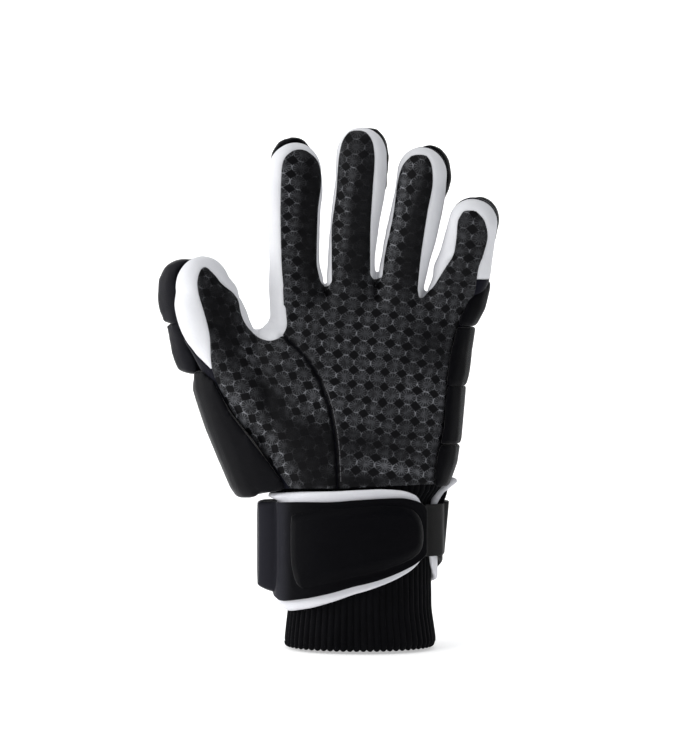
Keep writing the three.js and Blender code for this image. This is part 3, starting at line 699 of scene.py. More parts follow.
def leatherPatch(name, field, layout):
    points, normals, triangles = patchOf(np.minimum(field, hem), leather["bands"])
    away = edgeDistance(points, triangles)
    height = roll(away, leather["roll"]) * (leather["rise"] + leather["sink"]) - leather["sink"]
    seam = np.clip(1 - seamDistance(points) / leather["puckerWide"], 0, 1)
    ripple = noiseAt(points * np.array([0.5, 0.5, 1]), leather["puckerSize"], 7) * leather["pucker"]
    height = height + seam * ripple * np.clip(away / 2, 0, 1)
    piece = newPiece(name, points + normals * height[:, None], triangles)
    setFlat(piece, layout(points))
    # painted shade and painted highlight on the emboss, kept on the points for the material
    shown = piece.data.attributes.new("embossPaintedLight", "FLOAT", "POINT")
    shown.data.foreach_set("value", paintedLightAt(points))
    return piece


palmLeather = leatherPatch("palmLeather", np.minimum(palmField, -thumbField), palmAndFingersFlat)
thumbLeather = leatherPatch("thumbLeather", thumbField, thumbFlat)
print("leather cut out")

# The side cloth is a little proud of the skin, and its edges sink under the leather and the back cloth.
sideCloth = {"puff": 0.25, "sink": 0.45, "reach": 1.6, "bands": (0.5, 1.2)}
sideClothPieces = {}
for name in digits:
    field = np.minimum(np.minimum(clothFields[name], hem), body["overlap"] - leatherField)
    points, normals, triangles = patchOf(field, sideCloth["bands"])
    sunk = np.exp(-((edgeDistance(points, triangles) / sideCloth["reach"]) ** 2))
    height = sideCloth["puff"] - (sideCloth["puff"] + sideCloth["sink"]) * sunk
    sideClothPieces[name] = newPiece(name + "SideCloth", points + normals * height[:, None], triangles)
print("side cloth cut out")

white = np.max(list(clothFields.values()), axis=0)
points, normals, triangles = patchOf(np.minimum(np.minimum(-white, body["overlap"] - leatherField), hem))
backCloth = newPiece("backCloth", points - normals * 0.05, triangles)

for piece in (palmLeather, thumbLeather, backCloth, *sideClothPieces.values()):
    useModifier(piece, "SOLIDIFY", thickness=body["thickness"] * mm, offset=-1, use_even_offset=False)
print("glove body made")


# Stitches beside the seam of the thumb

stitches = {
    "long": 1.9, "step": 2.7, "beside": 1.9, "thick": 0.55, "from": 33, "to": 84, "lift": 0.12,
    "steepest": 1.5,
}


def capsule(start, end, thick, around=6):
    # a short thread with rounded ends, as a closed tube
    along = (end - start) / np.linalg.norm(end - start)
    side = np.cross(along, (0.3, 1, 0.2))
    side /= np.linalg.norm(side)
    up = np.cross(along, side)
    angle = 2 * np.pi * np.arange(around) / around
    circle = np.outer(np.cos(angle), side) + np.outer(np.sin(angle), up)
    cap = [(1, 0), (0.85, 0.45), (0.4, 0.8)]
    rings = [start + thick / 2 * (circle * share - along * ahead) for share, ahead in cap[::-1]]
    rings += [end + thick / 2 * (circle * share + along * ahead) for share, ahead in cap]
    return loft(np.array(rings))


def seamStitches():
    line = np.array(thumbSeam[::-1], float)
    for _ in range(2):
        line = np.concatenate([line[:1], quartered(line[:-1], line[1:]), line[-1:]])
    length = lengthAlong(line)
    target = bvhtree.BVHTree.FromPolygons(pointsOf(palmLeather).tolist(), trianglesOf(palmLeather).tolist())

    def alongSeam(at):
        return np.array([np.interp(at, length, line[:, 0]), np.interp(at, length, line[:, 1])])

    def onLeather(at):
        place = alongSeam(at)
        ahead = alongSeam(at + 1) - place
        side = np.array([-ahead[1], ahead[0]]) / max(np.linalg.norm(ahead), 1e-6)
        place = place + side * stitches["beside"]
        hit = target.ray_cast(Vector((place[0], -80, place[1])), Vector((0, 1, 0)))[0]
        return None if hit is None else np.array(hit) - np.array([0, stitches["lift"], 0])

    threads = []
    for at in np.arange(stitches["from"], stitches["to"], stitches["step"]):
        one, other = onLeather(at), onLeather(at + stitches["long"])
        if one is not None and other is not None and abs(one[1] - other[1]) < stitches["steepest"]:
            threads.append(capsule(one, other, stitches["thick"]))
    return faceOutwards(newPiece("seamStitches", *merged(threads)))


seamThread = seamStitches()
print("seam stitched")


# Foam pads: copies of the plain solids, remeshed, swollen by a cloth simulation and subdivided

pads = {
    "small": {"voxel": 1.2, "rounds": 20, "pressure": 3.5, "most": 0.5, "plump": 0.4, "pillow": 0.1},
    "large": {"voxel": 1.3, "rounds": 7, "pressure": 4, "most": 1.3, "plump": 0.4},
    # the groove down the back between the thumb's panel and the blocks: two points (x, z) and half its width.
    # It cuts what lies behind a depth; before that the panel's edge is drawn past it, row by row, and lifted.
    "backGroove": {
        "ends": [(-33, 138), (-22, 91.5)], "half": 0.9, "behind": 2, "row": 1.5, "even": 11, "past": 3.5,
        "lift": 2.6, "from": 12, "over": 9, "deepOver": 4,
    },
    # the panel's lower edge rises to the right of a place and below a height
    "panelFoot": {"x": -61, "overX": 13, "z": 100, "overZ": 14, "by": 1.3},
    # where the panel runs on over the root of the thumb: height and foremost x of its outside
    "panelTop": [(118, -79.3), (127, -81.9), (131, -83.1), (135, -83.9), (139, -84.3), (143.4, -84.4)],
    "panelSlab": {"front": -8.5, "back": 13.5, "thick": 5.5, "bow": 0.02, "inset": 0.4},
    "taller": 1.03,
    # beside its solid: how wide it is about the digit's centre line, how tall, and how far it is moved
    "fitted": {
        "index_pad_1": {"wide": 0.82}, "index_pad_2": {"wide": 0.86}, "middle_pad_1": {"wide": 0.8},
        "middle_pad_2": {"wide": 0.86}, "ring_pad_1": {"wide": 0.8}, "ring_pad_2": {"wide": 0.86},
        "thumb_side_panel": {"right": -1.3, "tall": 1.035},
        "hand_block_1": {"tall": 1.05}, "hand_block_2": {"tall": 1.035},
        "hand_block_3": {"tall": 1.035, "right": -0.5}, "hand_block_4": {"tall": 1.045, "right": -0.8},
    },
    # the outlines that show past the digits, seen from the front (x, z)
    "arcs": {
        "thumb_pad_2": [
            (-87.8, 202.3), (-93.2, 202.3), (-96.7, 201.1), (-99.6, 199.1), (-102.1, 195.6), (-103.5, 192.2),
            (-104, 188.3), (-104.3, 183.4), (-104.4, 178.5), (-103.6, 174), (-101.6, 170.7), (-98.4, 168.2),
            (-93, 167.2), (-86, 166.8),
        ],
        "thumb_pad_1": [
            (-84, 174), (-92, 173.2), (-98.4, 171.4), (-99.6, 167), (-99.2, 162.7), (-98.1, 157.8),
            (-96.8, 152.9), (-95, 148.1), (-92.9, 144.1), (-89.8, 142), (-85.4, 142),
        ],
        "index_pad_3": [
            (-45.4, 243), (-46, 250), (-45.9, 255), (-44.4, 259.3), (-41.9, 262.6), (-38.3, 264.5),
            (-34.4, 265.1), (-30.6, 264.6), (-27.2, 262.7), (-24.8, 259.6), (-23.6, 256), (-22.9, 250),
            (-22.8, 243), (-23.2, 238),
        ],
        "middle_pad_3": [
            (-4, 266), (0.3, 269.2), (5.6, 269.9), (9.2, 269), (12.3, 265.9), (14, 261.9), (14.8, 257.4),
            (14.8, 251.2), (14.2, 243.2), (13.3, 236.6),
        ],
        "ring_pad_3": [
            (27, 257), (33, 260.5), (37, 261.1), (41.7, 259.1), (44.7, 255.9), (46.4, 251.7), (47.1, 247),
            (46.9, 240.3), (45.8, 235.7), (44.2, 233.5),
        ],
        "little_pad_2": [
            (51, 226.5), (56.7, 232.4), (59.8, 234.3), (64, 234.2), (68.7, 231.1), (71.2, 226.9),
            (71.9, 221.9), (71, 217), (69.5, 211),
        ],
    },
    # how a pad is drawn to its arc, in degrees; it stays a little short, for the swelling to come
    "drawn": {"step": 4, "window": 5, "fade": 24, "short": 0.25},
    "counts": {"thumb": 2, "index": 3, "middle": 3, "ring": 3, "little": 2},
    "cloth": {
        "quality": 4, "mass": 0.3, "tension_stiffness": 12, "compression_stiffness": 12, "shear_stiffness": 5,
        "bending_stiffness": 1.5, "use_pressure": True,
    },
    "frames": 20,
}


smallPads = [f"{digit}_pad_{k + 1}" for digit, count in pads["counts"].items() for k in range(count)]
largePads = ["hand_block_1", "hand_block_2", "hand_block_3", "hand_block_4", "thumb_side_panel"]


def camelName(node):
    first, *rest = node.split("_")
    return first + "".join(word.capitalize() for word in rest)


def swollen(piece, pressure, most):
    # the foam fills the cloth: every point moves outwards only, and no further than the most that it may
    before, normals = pointsOf(piece), normalsOf(piece)
    activate(piece)
    bpy.ops.object.modifier_add(type="CLOTH")
    modifier = piece.modifiers[-1]
    for key, value in pads["cloth"].items():
        setattr(modifier.settings, key, value)
    modifier.settings.uniform_pressure_force = pressure
    modifier.settings.effector_weights.gravity = 0
    modifier.point_cache.frame_start = 1
    modifier.point_cache.frame_end = pads["frames"]
    for number in range(1, pads["frames"] + 1):
        bpy.context.scene.frame_set(number)
    bpy.ops.object.modifier_apply(modifier=modifier.name)
    after = pointsOf(piece)
    bpy.context.scene.frame_set(1)
    outwards = np.clip(((after - before) * normals).sum(axis=1), 0, most)
    setPoints(piece, before + normals * outwards[:, None])


def panelOverThumb():
    # the part of the panel that covers the thumb's root, as a closed slab
    slab = pads["panelSlab"]
    rings = []
    for z in np.linspace(pads["panelTop"][0][0], pads["panelTop"][-1][0], 14):
        y = np.linspace(slab["front"], slab["back"], 15)
        x = np.interp(z, *np.transpose(pads["panelTop"])) + slab["bow"] * (y - 2) ** 2 + slab["inset"]
        outside = np.stack([x, y, 0 * y + z], axis=1)
        rings.append(np.concatenate([outside, (outside + np.array([slab["thick"], 0, 0]))[::-1]]))
    return faceOutwards(newPiece("panelOverThumb", *loft(np.array(rings))))


def cutBack(points, node):
    # the panel and the blocks end on either side of one clean groove
    groove = pads["backGroove"]
    (ax, az), (bx, bz) = groove["ends"]
    x, y, z = points.T
    line = ax + (bx - ax) * (z - az) / (bz - az)
    behind = y > groove["behind"]
    if node != "thumb_side_panel":
        points[:, 0] = np.where(behind, np.maximum(x, line + groove["half"]), x)
        return points
    # the panel's edge there is drawn past the groove, row by row, and cut off straight
    heights = np.arange(z.min(), z.max() + 1, groove["row"])
    reach = [x[behind & (np.abs(z - high) < groove["row"])].max(initial=-60) for high in heights]
    wide = groove["even"]
    even = np.convolve(np.pad(reach, wide // 2, mode="edge"), np.ones(wide) / wide, mode="valid")
    edge = np.interp(z, heights, np.minimum(reach, even))
    near = np.clip((x - edge + groove["from"]) / groove["over"], 0, 1)
    near = near * np.clip((y - groove["behind"]) / groove["deepOver"], 0, 1)
    x = x + (line - groove["half"] + groove["past"] - edge) * near
    points[:, 0] = np.where(behind, np.minimum(x, line - groove["half"]), x)
    points[:, 1] += groove["lift"] * near
    foot = pads["panelFoot"]
    right = np.clip((points[:, 0] - foot["x"]) / foot["overX"], 0, 1)
    points[:, 2] += foot["by"] * right * np.clip((foot["z"] - points[:, 2]) / foot["overZ"], 0, 1)
    return points


def drawnTo(points, arc):
    # seen from the front, stretches a pad away from its middle until its outline runs through the arc
    middle = (points.min(axis=0) + points.max(axis=0))[[0, 2]] / 2
    drawn = pads["drawn"]

    def polar(places):
        away = places - middle
        angle = (np.degrees(np.arctan2(away[:, 1], away[:, 0])) + 90) % 360 - 90
        return angle, np.linalg.norm(away, axis=1)

    wantAngle, want = polar(np.array(arc, float))
    order = np.argsort(wantAngle)
    angle, reach = polar(points[:, [0, 2]])
    at = np.arange(wantAngle.min(), wantAngle.max() + drawn["step"] / 2, drawn["step"])
    have = np.array([reach[np.abs(angle - a) < drawn["window"]].max(initial=1) for a in at])
    have = np.convolve(np.pad(have, 1, mode="edge"), [0.25, 0.5, 0.25], mode="valid")
    ratio = (np.interp(at, wantAngle[order], want[order]) - drawn["short"]) / have
    # past the arc's ends the pad keeps its own outline
    ratio = np.interp(angle, [at[0] - drawn["fade"], *at, at[-1] + drawn["fade"]], [1, *ratio, 1])
    depth = np.clip(reach / np.interp(angle, at, have), 0, 1) ** 2
    points[:, [0, 2]] = middle + (points[:, [0, 2]] - middle) * (1 + (ratio - 1) * depth)[:, None]
    return points


def foamPad(node, size):
    piece = bpy.data.objects.new(camelName(node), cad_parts[node].data.copy())
    bpy.context.scene.collection.objects.link(piece)
    piece.data.materials.clear()
    useModifier(piece, "WELD", merge_threshold=0.01 * mm)
    setPoints(piece, pointsOf(piece) + normalsOf(piece) * size["plump"])
    if node == "thumb_side_panel":
        slab = panelOverThumb()
        activate(piece)
        slab.select_set(True)
        bpy.ops.object.join()
    useModifier(piece, "REMESH", mode="VOXEL", voxel_size=size["voxel"] * mm, use_smooth_shade=True)
    if node in largePads:
        setPoints(piece, cutBack(pointsOf(piece), node))
    useModifier(piece, "SMOOTH", factor=0.5, iterations=size["rounds"])
    fit = pads["fitted"].get(node, {})
    points = pointsOf(piece)
    middle = points.mean(axis=0)
    if node in smallPads:
        centre = rowsAt(digits[node.split("_")[0]]["rows"], points[:, 2])[:, 1:3]
    if "wide" in fit:
        points[:, 0] = centre[:, 0] + (points[:, 0] - centre[:, 0]) * fit["wide"]
    if node in pads["arcs"]:
        points = drawnTo(points, pads["arcs"][node])
    elif node in smallPads:
        # its ends are a little narrower and thinner than its middle
        low, high = points[:, 2].min(), points[:, 2].max()
        end = ((points[:, 2] - (low + high) / 2) / (high - low) * 2) ** 4
        points[:, :2] = centre + (points[:, :2] - centre) * (1 - size["pillow"] * end)[:, None]
    tall = fit.get("tall", 1 if node in pads["arcs"] else pads["taller"])
    points[:, 0] += fit.get("right", 0)
    points[:, 2] = middle[2] + (points[:, 2] - middle[2]) * tall
    setPoints(piece, points)
    swollen(piece, size["pressure"], size["most"])
    useModifier(piece, "SUBSURF", levels=1, render_levels=1)
    activate(piece)
    bpy.ops.object.shade_smooth()
    return piece


foamPieces = {node: foamPad(node, pads["small"]) for node in smallPads}
foamPieces.update({node: foamPad(node, pads["large"]) for node in largePads})
print("foam pads swollen")


# The ribbed cuff

cuff = {
    "ribs": 62, "ribDeep": 1.0, "wall": 2.4, "perRib": 10, "rim": (38.8, 27.7), "wider": 1.012,
    "wave": 0.15, "sag": 0.25,
}
cuffRows = [
    (0, -37.5, 37.5, -26.5, 26.5), (3, -38.7, 39.2, -28, 28), (10, -38.1, 38.4, -27.4, 27.4),
    (21, -37.1, 37.1, -26, 26), (50, -37.2, 36.8, -25.9, 25.9), (76, -37.4, 37, -26, 26),
    (78, -37.6, 38.2, -25.4, 25), (84, -41, 42.5, -24.6, 23.4), (93, -46, 44, -24.2, 22),
]


def evenRing(half, deep, count, power=2.2):
    # points at even distances round a superellipse, with the directions that point out of it
    angle = np.linspace(0, 2 * np.pi, 2881)
    c, s = np.cos(angle), np.sin(angle)
    x, y = half * np.sign(c) * np.abs(c) ** (2 / power), deep * np.sign(s) * np.abs(s) ** (2 / power)
    line = np.stack([x, y], axis=1)
    length = lengthAlong(line)
    at = np.linspace(0, length[-1], count, endpoint=False)
    ring = np.stack([np.interp(at, length, line[:, 0]), np.interp(at, length, line[:, 1])], axis=1)
    ahead = np.roll(ring, -1, axis=0) - np.roll(ring, 1, axis=0)
    out = np.stack([ahead[:, 1], -ahead[:, 0]], axis=1)
    return ring, out / np.linalg.norm(out, axis=1)[:, None]


def knitCuff():
    around = cuff["ribs"] * cuff["perRib"]
    phase = np.arange(around) / cuff["perRib"] * np.pi
    rib = np.abs(np.cos(phase)) ** 0.7
    heights = np.concatenate([np.linspace(2.2, 30, 26), np.linspace(32, 93, 24)])
    table = smoothRows(cuffRows, heights)
    rings = []
    for z, left, right, front, back in table:
        ring, out = evenRing((right - left) / 2, (back - front) / 2, around)
        centre = np.array([(left + right) / 2, (front + back) / 2])
        wave = noise.noise(Vector((z / 9, 2.5, 0))) * cuff["wave"]
        flat = ring + centre + out * ((rib - 1) * cuff["ribDeep"] + wave)[:, None]
        sag = cuff["sag"] * np.sin(z / 11 + ring[:, 0] / 13)
        rings.append(np.concatenate([flat, (z + sag * (z > 20))[:, None]], axis=1))
    rim = []
    ring, out = evenRing(*cuff["rim"], around)
    for angle in np.linspace(np.pi, 0, 9):
        share = (math.cos(angle) + 1) / 2
        off = (rib - 1) * cuff["ribDeep"] * share - cuff["wall"] * (1 - share)
        flat = ring + out * off[:, None] + np.array([-0.1, 0])
        rim.append(np.concatenate([flat, (2 - math.sin(angle) * (1 + rib))[:, None]], axis=1))
    inner = []
    for z, left, right, front, back in smoothRows(cuffRows, np.linspace(93, 3, 24)):
        ring, out = evenRing((right - left) / 2 - cuff["wall"], (back - front) / 2 - cuff["wall"], around)
        flat = ring + np.array([(left + right) / 2, (front + back) / 2]) + out * ((0.5 - rib) * 0.5)[:, None]
        inner.append(np.concatenate([flat, np.full((around, 1), z)], axis=1))
    rings = np.array(rim + rings + inner)
    first = np.arange(around)
    last = first + (len(rings) - 1) * around
    close = np.stack([last, np.roll(last, -1), np.roll(first, -1), first], axis=1)
    faces = np.concatenate([tubeFaces(len(rings), around), close])
    return faceOutwards(newPiece("knitCuff", rings.reshape(-1, 3), faces))


cuffPiece = knitCuff()
print("cuff knitted")


# The strap: degrees run from the right side (0) over the front (90), left (180) and back (270).
# Its rows: degrees, top, bottom, off the cuff, padding, lining shown above the cover, lining shown below it
strap = {
    "halfX": 37.6, "halfY": 26.5, "middle": -0.2, "power": 2.2, "gap": 0.3, "lining": 1.4, "cover": 2.4,
    # how far the upper edge stands out at each angle, how far below it that begins, over what height it
    # rises, and how much of it the cover follows
    "lipBelow": 4.6, "lipOver": 2.6, "coverLip": 2.7,
    "lip": [
        (146, 0), (158, 3.6), (170, 4.6), (182, 4.6), (194, 3.6), (206, 0), (334, 0), (340, 7), (346, 10.5),
        (352, 11), (357, 9), (362, 6.5), (368, 4.5), (376, 2), (381, 0),
    ],
}
strapRows = [
    (35, 66, 56, 1.8, 0, 1, 1), (39, 74.5, 49.5, 1.8, 0, 1, 1), (47, 80.8, 43.7, 1.5, 0, 3.4, 2.4),
    (62, 83.3, 37.9, 0.6, 0, 4.1, 3.1), (76, 83.7, 33.9, 0, 0.2, 4.8, 3.3),
    (90, 83.3, 30.4, 0, 0.5, 5.1, 3.8), (110, 82.6, 25.5, 0, 1.2, 5.5, 4.4),
    (130, 82.5, 22.4, 0, 2.3, 5.3, 4.9), (150, 82.2, 21.3, 0, 3.3, 5.1, 5), (166, 81.8, 23, 0, 3.5, 4.8, 4.6),
    (190, 81.5, 26, 0, 3.7, 4.6, 4.6), (230, 81.5, 28, 0, 2.5, 4.6, 4.6), (270, 81.5, 28, 0, 1.5, 4.6, 4.6),
    (310, 83, 30, 0, 0.8, 3, 4.6), (335, 87, 33, 0, 1.5, 1.6, 6), (350, 88.6, 35, 0, 2, 1.4, 8.5),
    (366, 84, 38, 0, 1, 1.4, 9.5), (376, 76.5, 44, 0, 0, 1.2, 7), (381, 70, 51, 0, 0, 1, 2),
]


def onWrist(deg, out, z):
    # a point at an angle round the wrist, out from the cuff and up
    angle = np.radians(deg)
    c, s = np.cos(angle), np.sin(angle)
    power = 2 / strap["power"]
    x = strap["middle"] + (strap["halfX"] + out) * np.sign(c) * np.abs(c) ** power
    y = -(strap["halfY"] + out) * np.sign(s) * np.abs(s) ** power
    return np.stack([x, y, z + 0 * x], axis=-1)


def band(name, degrees, bottom, top, inner, outer, edge, columns):
    # a closed band round the wrist with rounded edges; outer may be a function of the place across it
    rings = []
    for k, deg in enumerate(degrees):
        low, high = bottom[k], top[k]
        across = low + (high - low) * (0.5 - 0.5 * np.cos(np.linspace(0, np.pi, columns)))
        away = np.minimum(across - low, high - across)
        thick = outer(k, across) - inner[k]
        radius = np.minimum(edge, thick / 2)
        face = inner[k] + thick - radius * (1 - roll(away, radius))
        few = np.linspace(columns - 1, 0, 14).astype(int)[1:-1]
        under = inner[k] + radius * (1 - roll(away, radius)) * 0.9
        out = np.concatenate([face, under[few]])
        z = np.concatenate([across, across[few]])
        rings.append(onWrist(np.full(len(z), deg), out, z))
    return faceOutwards(newPiece(name, *loft(np.array(rings))))


def lipOut(deg, across, top):
    # how far the strap's upper edge stands out over the side pad, and at its corner behind the right side
    t = np.clip((across - top + strap["lipBelow"]) / strap["lipOver"], 0, 1)
    return np.interp(deg, *np.transpose(strap["lip"])) * softStep(t)


def strapLining():
    degrees = np.linspace(35, 381, 461)
    table = smoothRows(strapRows, degrees)
    thick = strap["lining"] + table[:, 4]
    inner = table[:, 3] + strap["gap"]

    def outer(k, across):
        return inner[k] + thick[k] + lipOut(degrees[k], across, table[k, 1])

    return band("strapLining", degrees, table[:, 2], table[:, 1], inner, outer, 2.2, 40)


# Every island's groove round it and the crown of its top, and how far its side begins outside its outline
islandEdge = {"spread": 0.8, "groove": 0.35, "crown": 0.5, "crownOver": 14}
# Raised foam islands in the cover: outline (deg, top, bottom), height and how wide their sides are
islands = {
    "front": {
        "rise": 3.2, "side": 5.5,
        "rows": [
            (44.5, 63, 56), (47, 68.5, 52), (53, 72.5, 48.8), (62, 74.2, 46), (76, 74.7, 42.6),
            (90, 73.8, 39.8), (104, 72.8, 36.9), (118, 71.8, 34.6), (130, 71, 33.3), (135, 70.6, 36.5),
            (139, 69.5, 47),
        ],
    },
    "side": {
        "rise": 7.4, "side": 4,
        "rows": [
            (162.5, 69, 42), (164.5, 75.5, 34.8), (168, 78.4, 31.8), (174, 79.2, 31), (198, 79.2, 31),
            (204, 74, 37),
        ],
    },
    "back": {"rise": 7, "side": 4.5, "rows": [(222, 70, 40), (226, 74, 36), (308, 74, 38), (313, 70, 42)]},
}


def arcOf(degrees):
    return lengthAlong(onWrist(degrees, np.full(len(degrees), 3.5), np.zeros(len(degrees))))


def strapCover():
    degrees = np.linspace(39, 377, 571)
    table = smoothRows(strapRows, degrees)
    arc = arcOf(degrees)
    top = table[:, 1] - table[:, 5]
    bottom = table[:, 2] + table[:, 6]
    inner = table[:, 3] + strap["gap"] * 2 + strap["lining"] + table[:, 4]
    shapes = []
    for island in islands.values():
        deg, high, low = np.array(island["rows"], float).T
        at = np.linspace(deg[0], deg[-1], 40)
        along = np.interp(at, degrees, arc)
        upper = np.stack([along, np.interp(at, deg, high)], axis=1)
        lower = np.stack([along, np.interp(at, deg, low)], axis=1)
        shapes.append((cornersCut(np.concatenate([upper, lower[::-1]]), 3), island))

    def outer(k, across):
        place = np.stack([np.full(len(across), arc[k]), 0 * across, across], axis=1)
        height = inner[k] + strap["cover"]
        if degrees[k] > 270:
            height = height + np.clip(lipOut(degrees[k], across, table[k, 1]), 0, strap["coverLip"])
        for outline, island in shapes:
            # a faint groove round the island, then its side, then its slightly crowned top
            if outline[:, 0].min() - 4 < arc[k] < outline[:, 0].max() + 4:
                inside = insideBy(place, outline) + islandEdge["spread"]
                height = height - islandEdge["groove"] * np.exp(-(((inside + 0.6) / 2) ** 2))
                t = np.clip(inside / island["side"], 0, 1)
                height = height + island["rise"] * (0.35 * softStep(t) + 0.65 * roll(t, 1))
                crown = np.clip(inside / islandEdge["crownOver"], 0, 1) * (inside > 0)
                height = height + islandEdge["crown"] * crown
        return height

    return band("strapCover", degrees, bottom, top, inner, outer, 1.2, 84)


liningPiece = strapLining()
coverPiece = strapCover()
print("strap wound")

webbing = {"thick": 1.3, "hem": 1.2, "lean": 0.09}
webbingRows = [
    (-40, 75.5, 54, 5.3), (-4, 76, 52.5, 5.3), (14, 76, 49.4, 5.3), (25, 76, 49.2, 2.2), (29, 76, 49.2, 0.2),
    (40, 72, 52, 0.1),
]


def strapWebbing():
    degrees = np.linspace(-40, 40, 121)
    table = smoothRows(webbingRows, degrees)
    fold = 1 / (1 + np.exp(-(degrees + 16) * 1.6)) / (1 + np.exp((degrees - 8) * 1.6))
    top = table[:, 1] + fold * 0.9
    bottom = table[:, 2] - fold * 0.9
    inner = table[:, 3] + strap["gap"]
    thick = webbing["thick"] + fold * webbing["hem"]

    def outer(k, across):
        return inner[k] + thick[k] + fold[k] * webbing["lean"] * (across - 64)

    return band("strapWebbing", degrees, bottom, top, inner, outer, 0.5, 40)


webbingPiece = strapWebbing()
print("webbing laid")


# Materials

def material(name, color, roughness, **sockets):
    made = bpy.data.materials.new(name)
    made.use_nodes = True
    shader = made.node_tree.nodes["Principled BSDF"]
    shader.inputs["Base Color"].default_value = (*color, 1)
    shader.inputs["Roughness"].default_value = roughness
    for key, value in sockets.items():
        shader.inputs[key].default_value = value
    return made, made.node_tree, shader


def addNode(tree, kind, **settings):
    node = tree.nodes.new(kind)
    for key, value in settings.items():
        setattr(node, key, value)
    return node


def feed(tree, source, socket):
    # a socket takes either a plain number or another node's output
    if isinstance(source, (int, float)):
        socket.default_value = source
    else:
        tree.links.new(source, socket)


def placeOn(tree, kind="Object"):
    return addNode(tree, "ShaderNodeTexCoord").outputs[kind]


def splitUp(tree, vector):
    node = addNode(tree, "ShaderNodeSeparateXYZ")
    tree.links.new(vector, node.inputs["Vector"])
    return node.outputs


def calc(tree, operation, *values):
    node = addNode(tree, "ShaderNodeMath", operation=operation)
    for value, socket in zip(values, node.inputs):
        feed(tree, value, socket)
    return node.outputs[0]


def rise(tree, value, low, high):
    # 0 below low and 1 above high, smooth between
    node = addNode(tree, "ShaderNodeMapRange", interpolation_type="SMOOTHSTEP")
    feed(tree, value, node.inputs["Value"])
    node.inputs["From Min"].default_value = low
    node.inputs["From Max"].default_value = high
    return node.outputs["Result"]


def blendColor(tree, factor, dark, light):
    node = addNode(tree, "ShaderNodeMix", data_type="RGBA")
    feed(tree, factor, node.inputs["Factor"])
    node.inputs[6].default_value = (*dark, 1)
    node.inputs[7].default_value = (*light, 1)
    return node.outputs[2]


def cloudy(tree, vector, scale, detail=2.0, rough=0.5):
    node = addNode(tree, "ShaderNodeTexNoise")
    node.inputs["Scale"].default_value = scale
    node.inputs["Detail"].default_value = detail
    node.inputs["Roughness"].default_value = rough
    tree.links.new(vector, node.inputs["Vector"])
    return node.outputs["Fac"]


def relief(tree, height, distance, strength=1.0, normal=None):
    node = addNode(tree, "ShaderNodeBump")
    node.inputs["Strength"].default_value = strength
    node.inputs["Distance"].default_value = distance
    feed(tree, height, node.inputs["Height"])
    if normal is not None:
        tree.links.new(normal, node.inputs["Normal"])
    return node.outputs["Normal"]


# The emboss is a lattice of wheels, 8.7 by 7.4 mm each, with a dark diamond between every four
emboss = {
    "wide": 8.7, "tall": 7.4, "spokes": 15, "hub": 0.42, "rim": 0.97, "rimWide": 0.042, "diamond": 0.72,
    "fill": 0.27, "gap": (0.0016, 0.0016, 0.0022), "mark": (0.3, 0.307, 0.332), "gloss": 0.4,
    "wander": 0.05, "wanderScale": 4.0, "grainScale": 160.0, "wrinkleScale": (5, 30, 1),
}


def apart(tree, a, b):
    squares = calc(tree, "ADD", calc(tree, "MULTIPLY", a, a), calc(tree, "MULTIPLY", b, b))
    return calc(tree, "SQRT", squares)


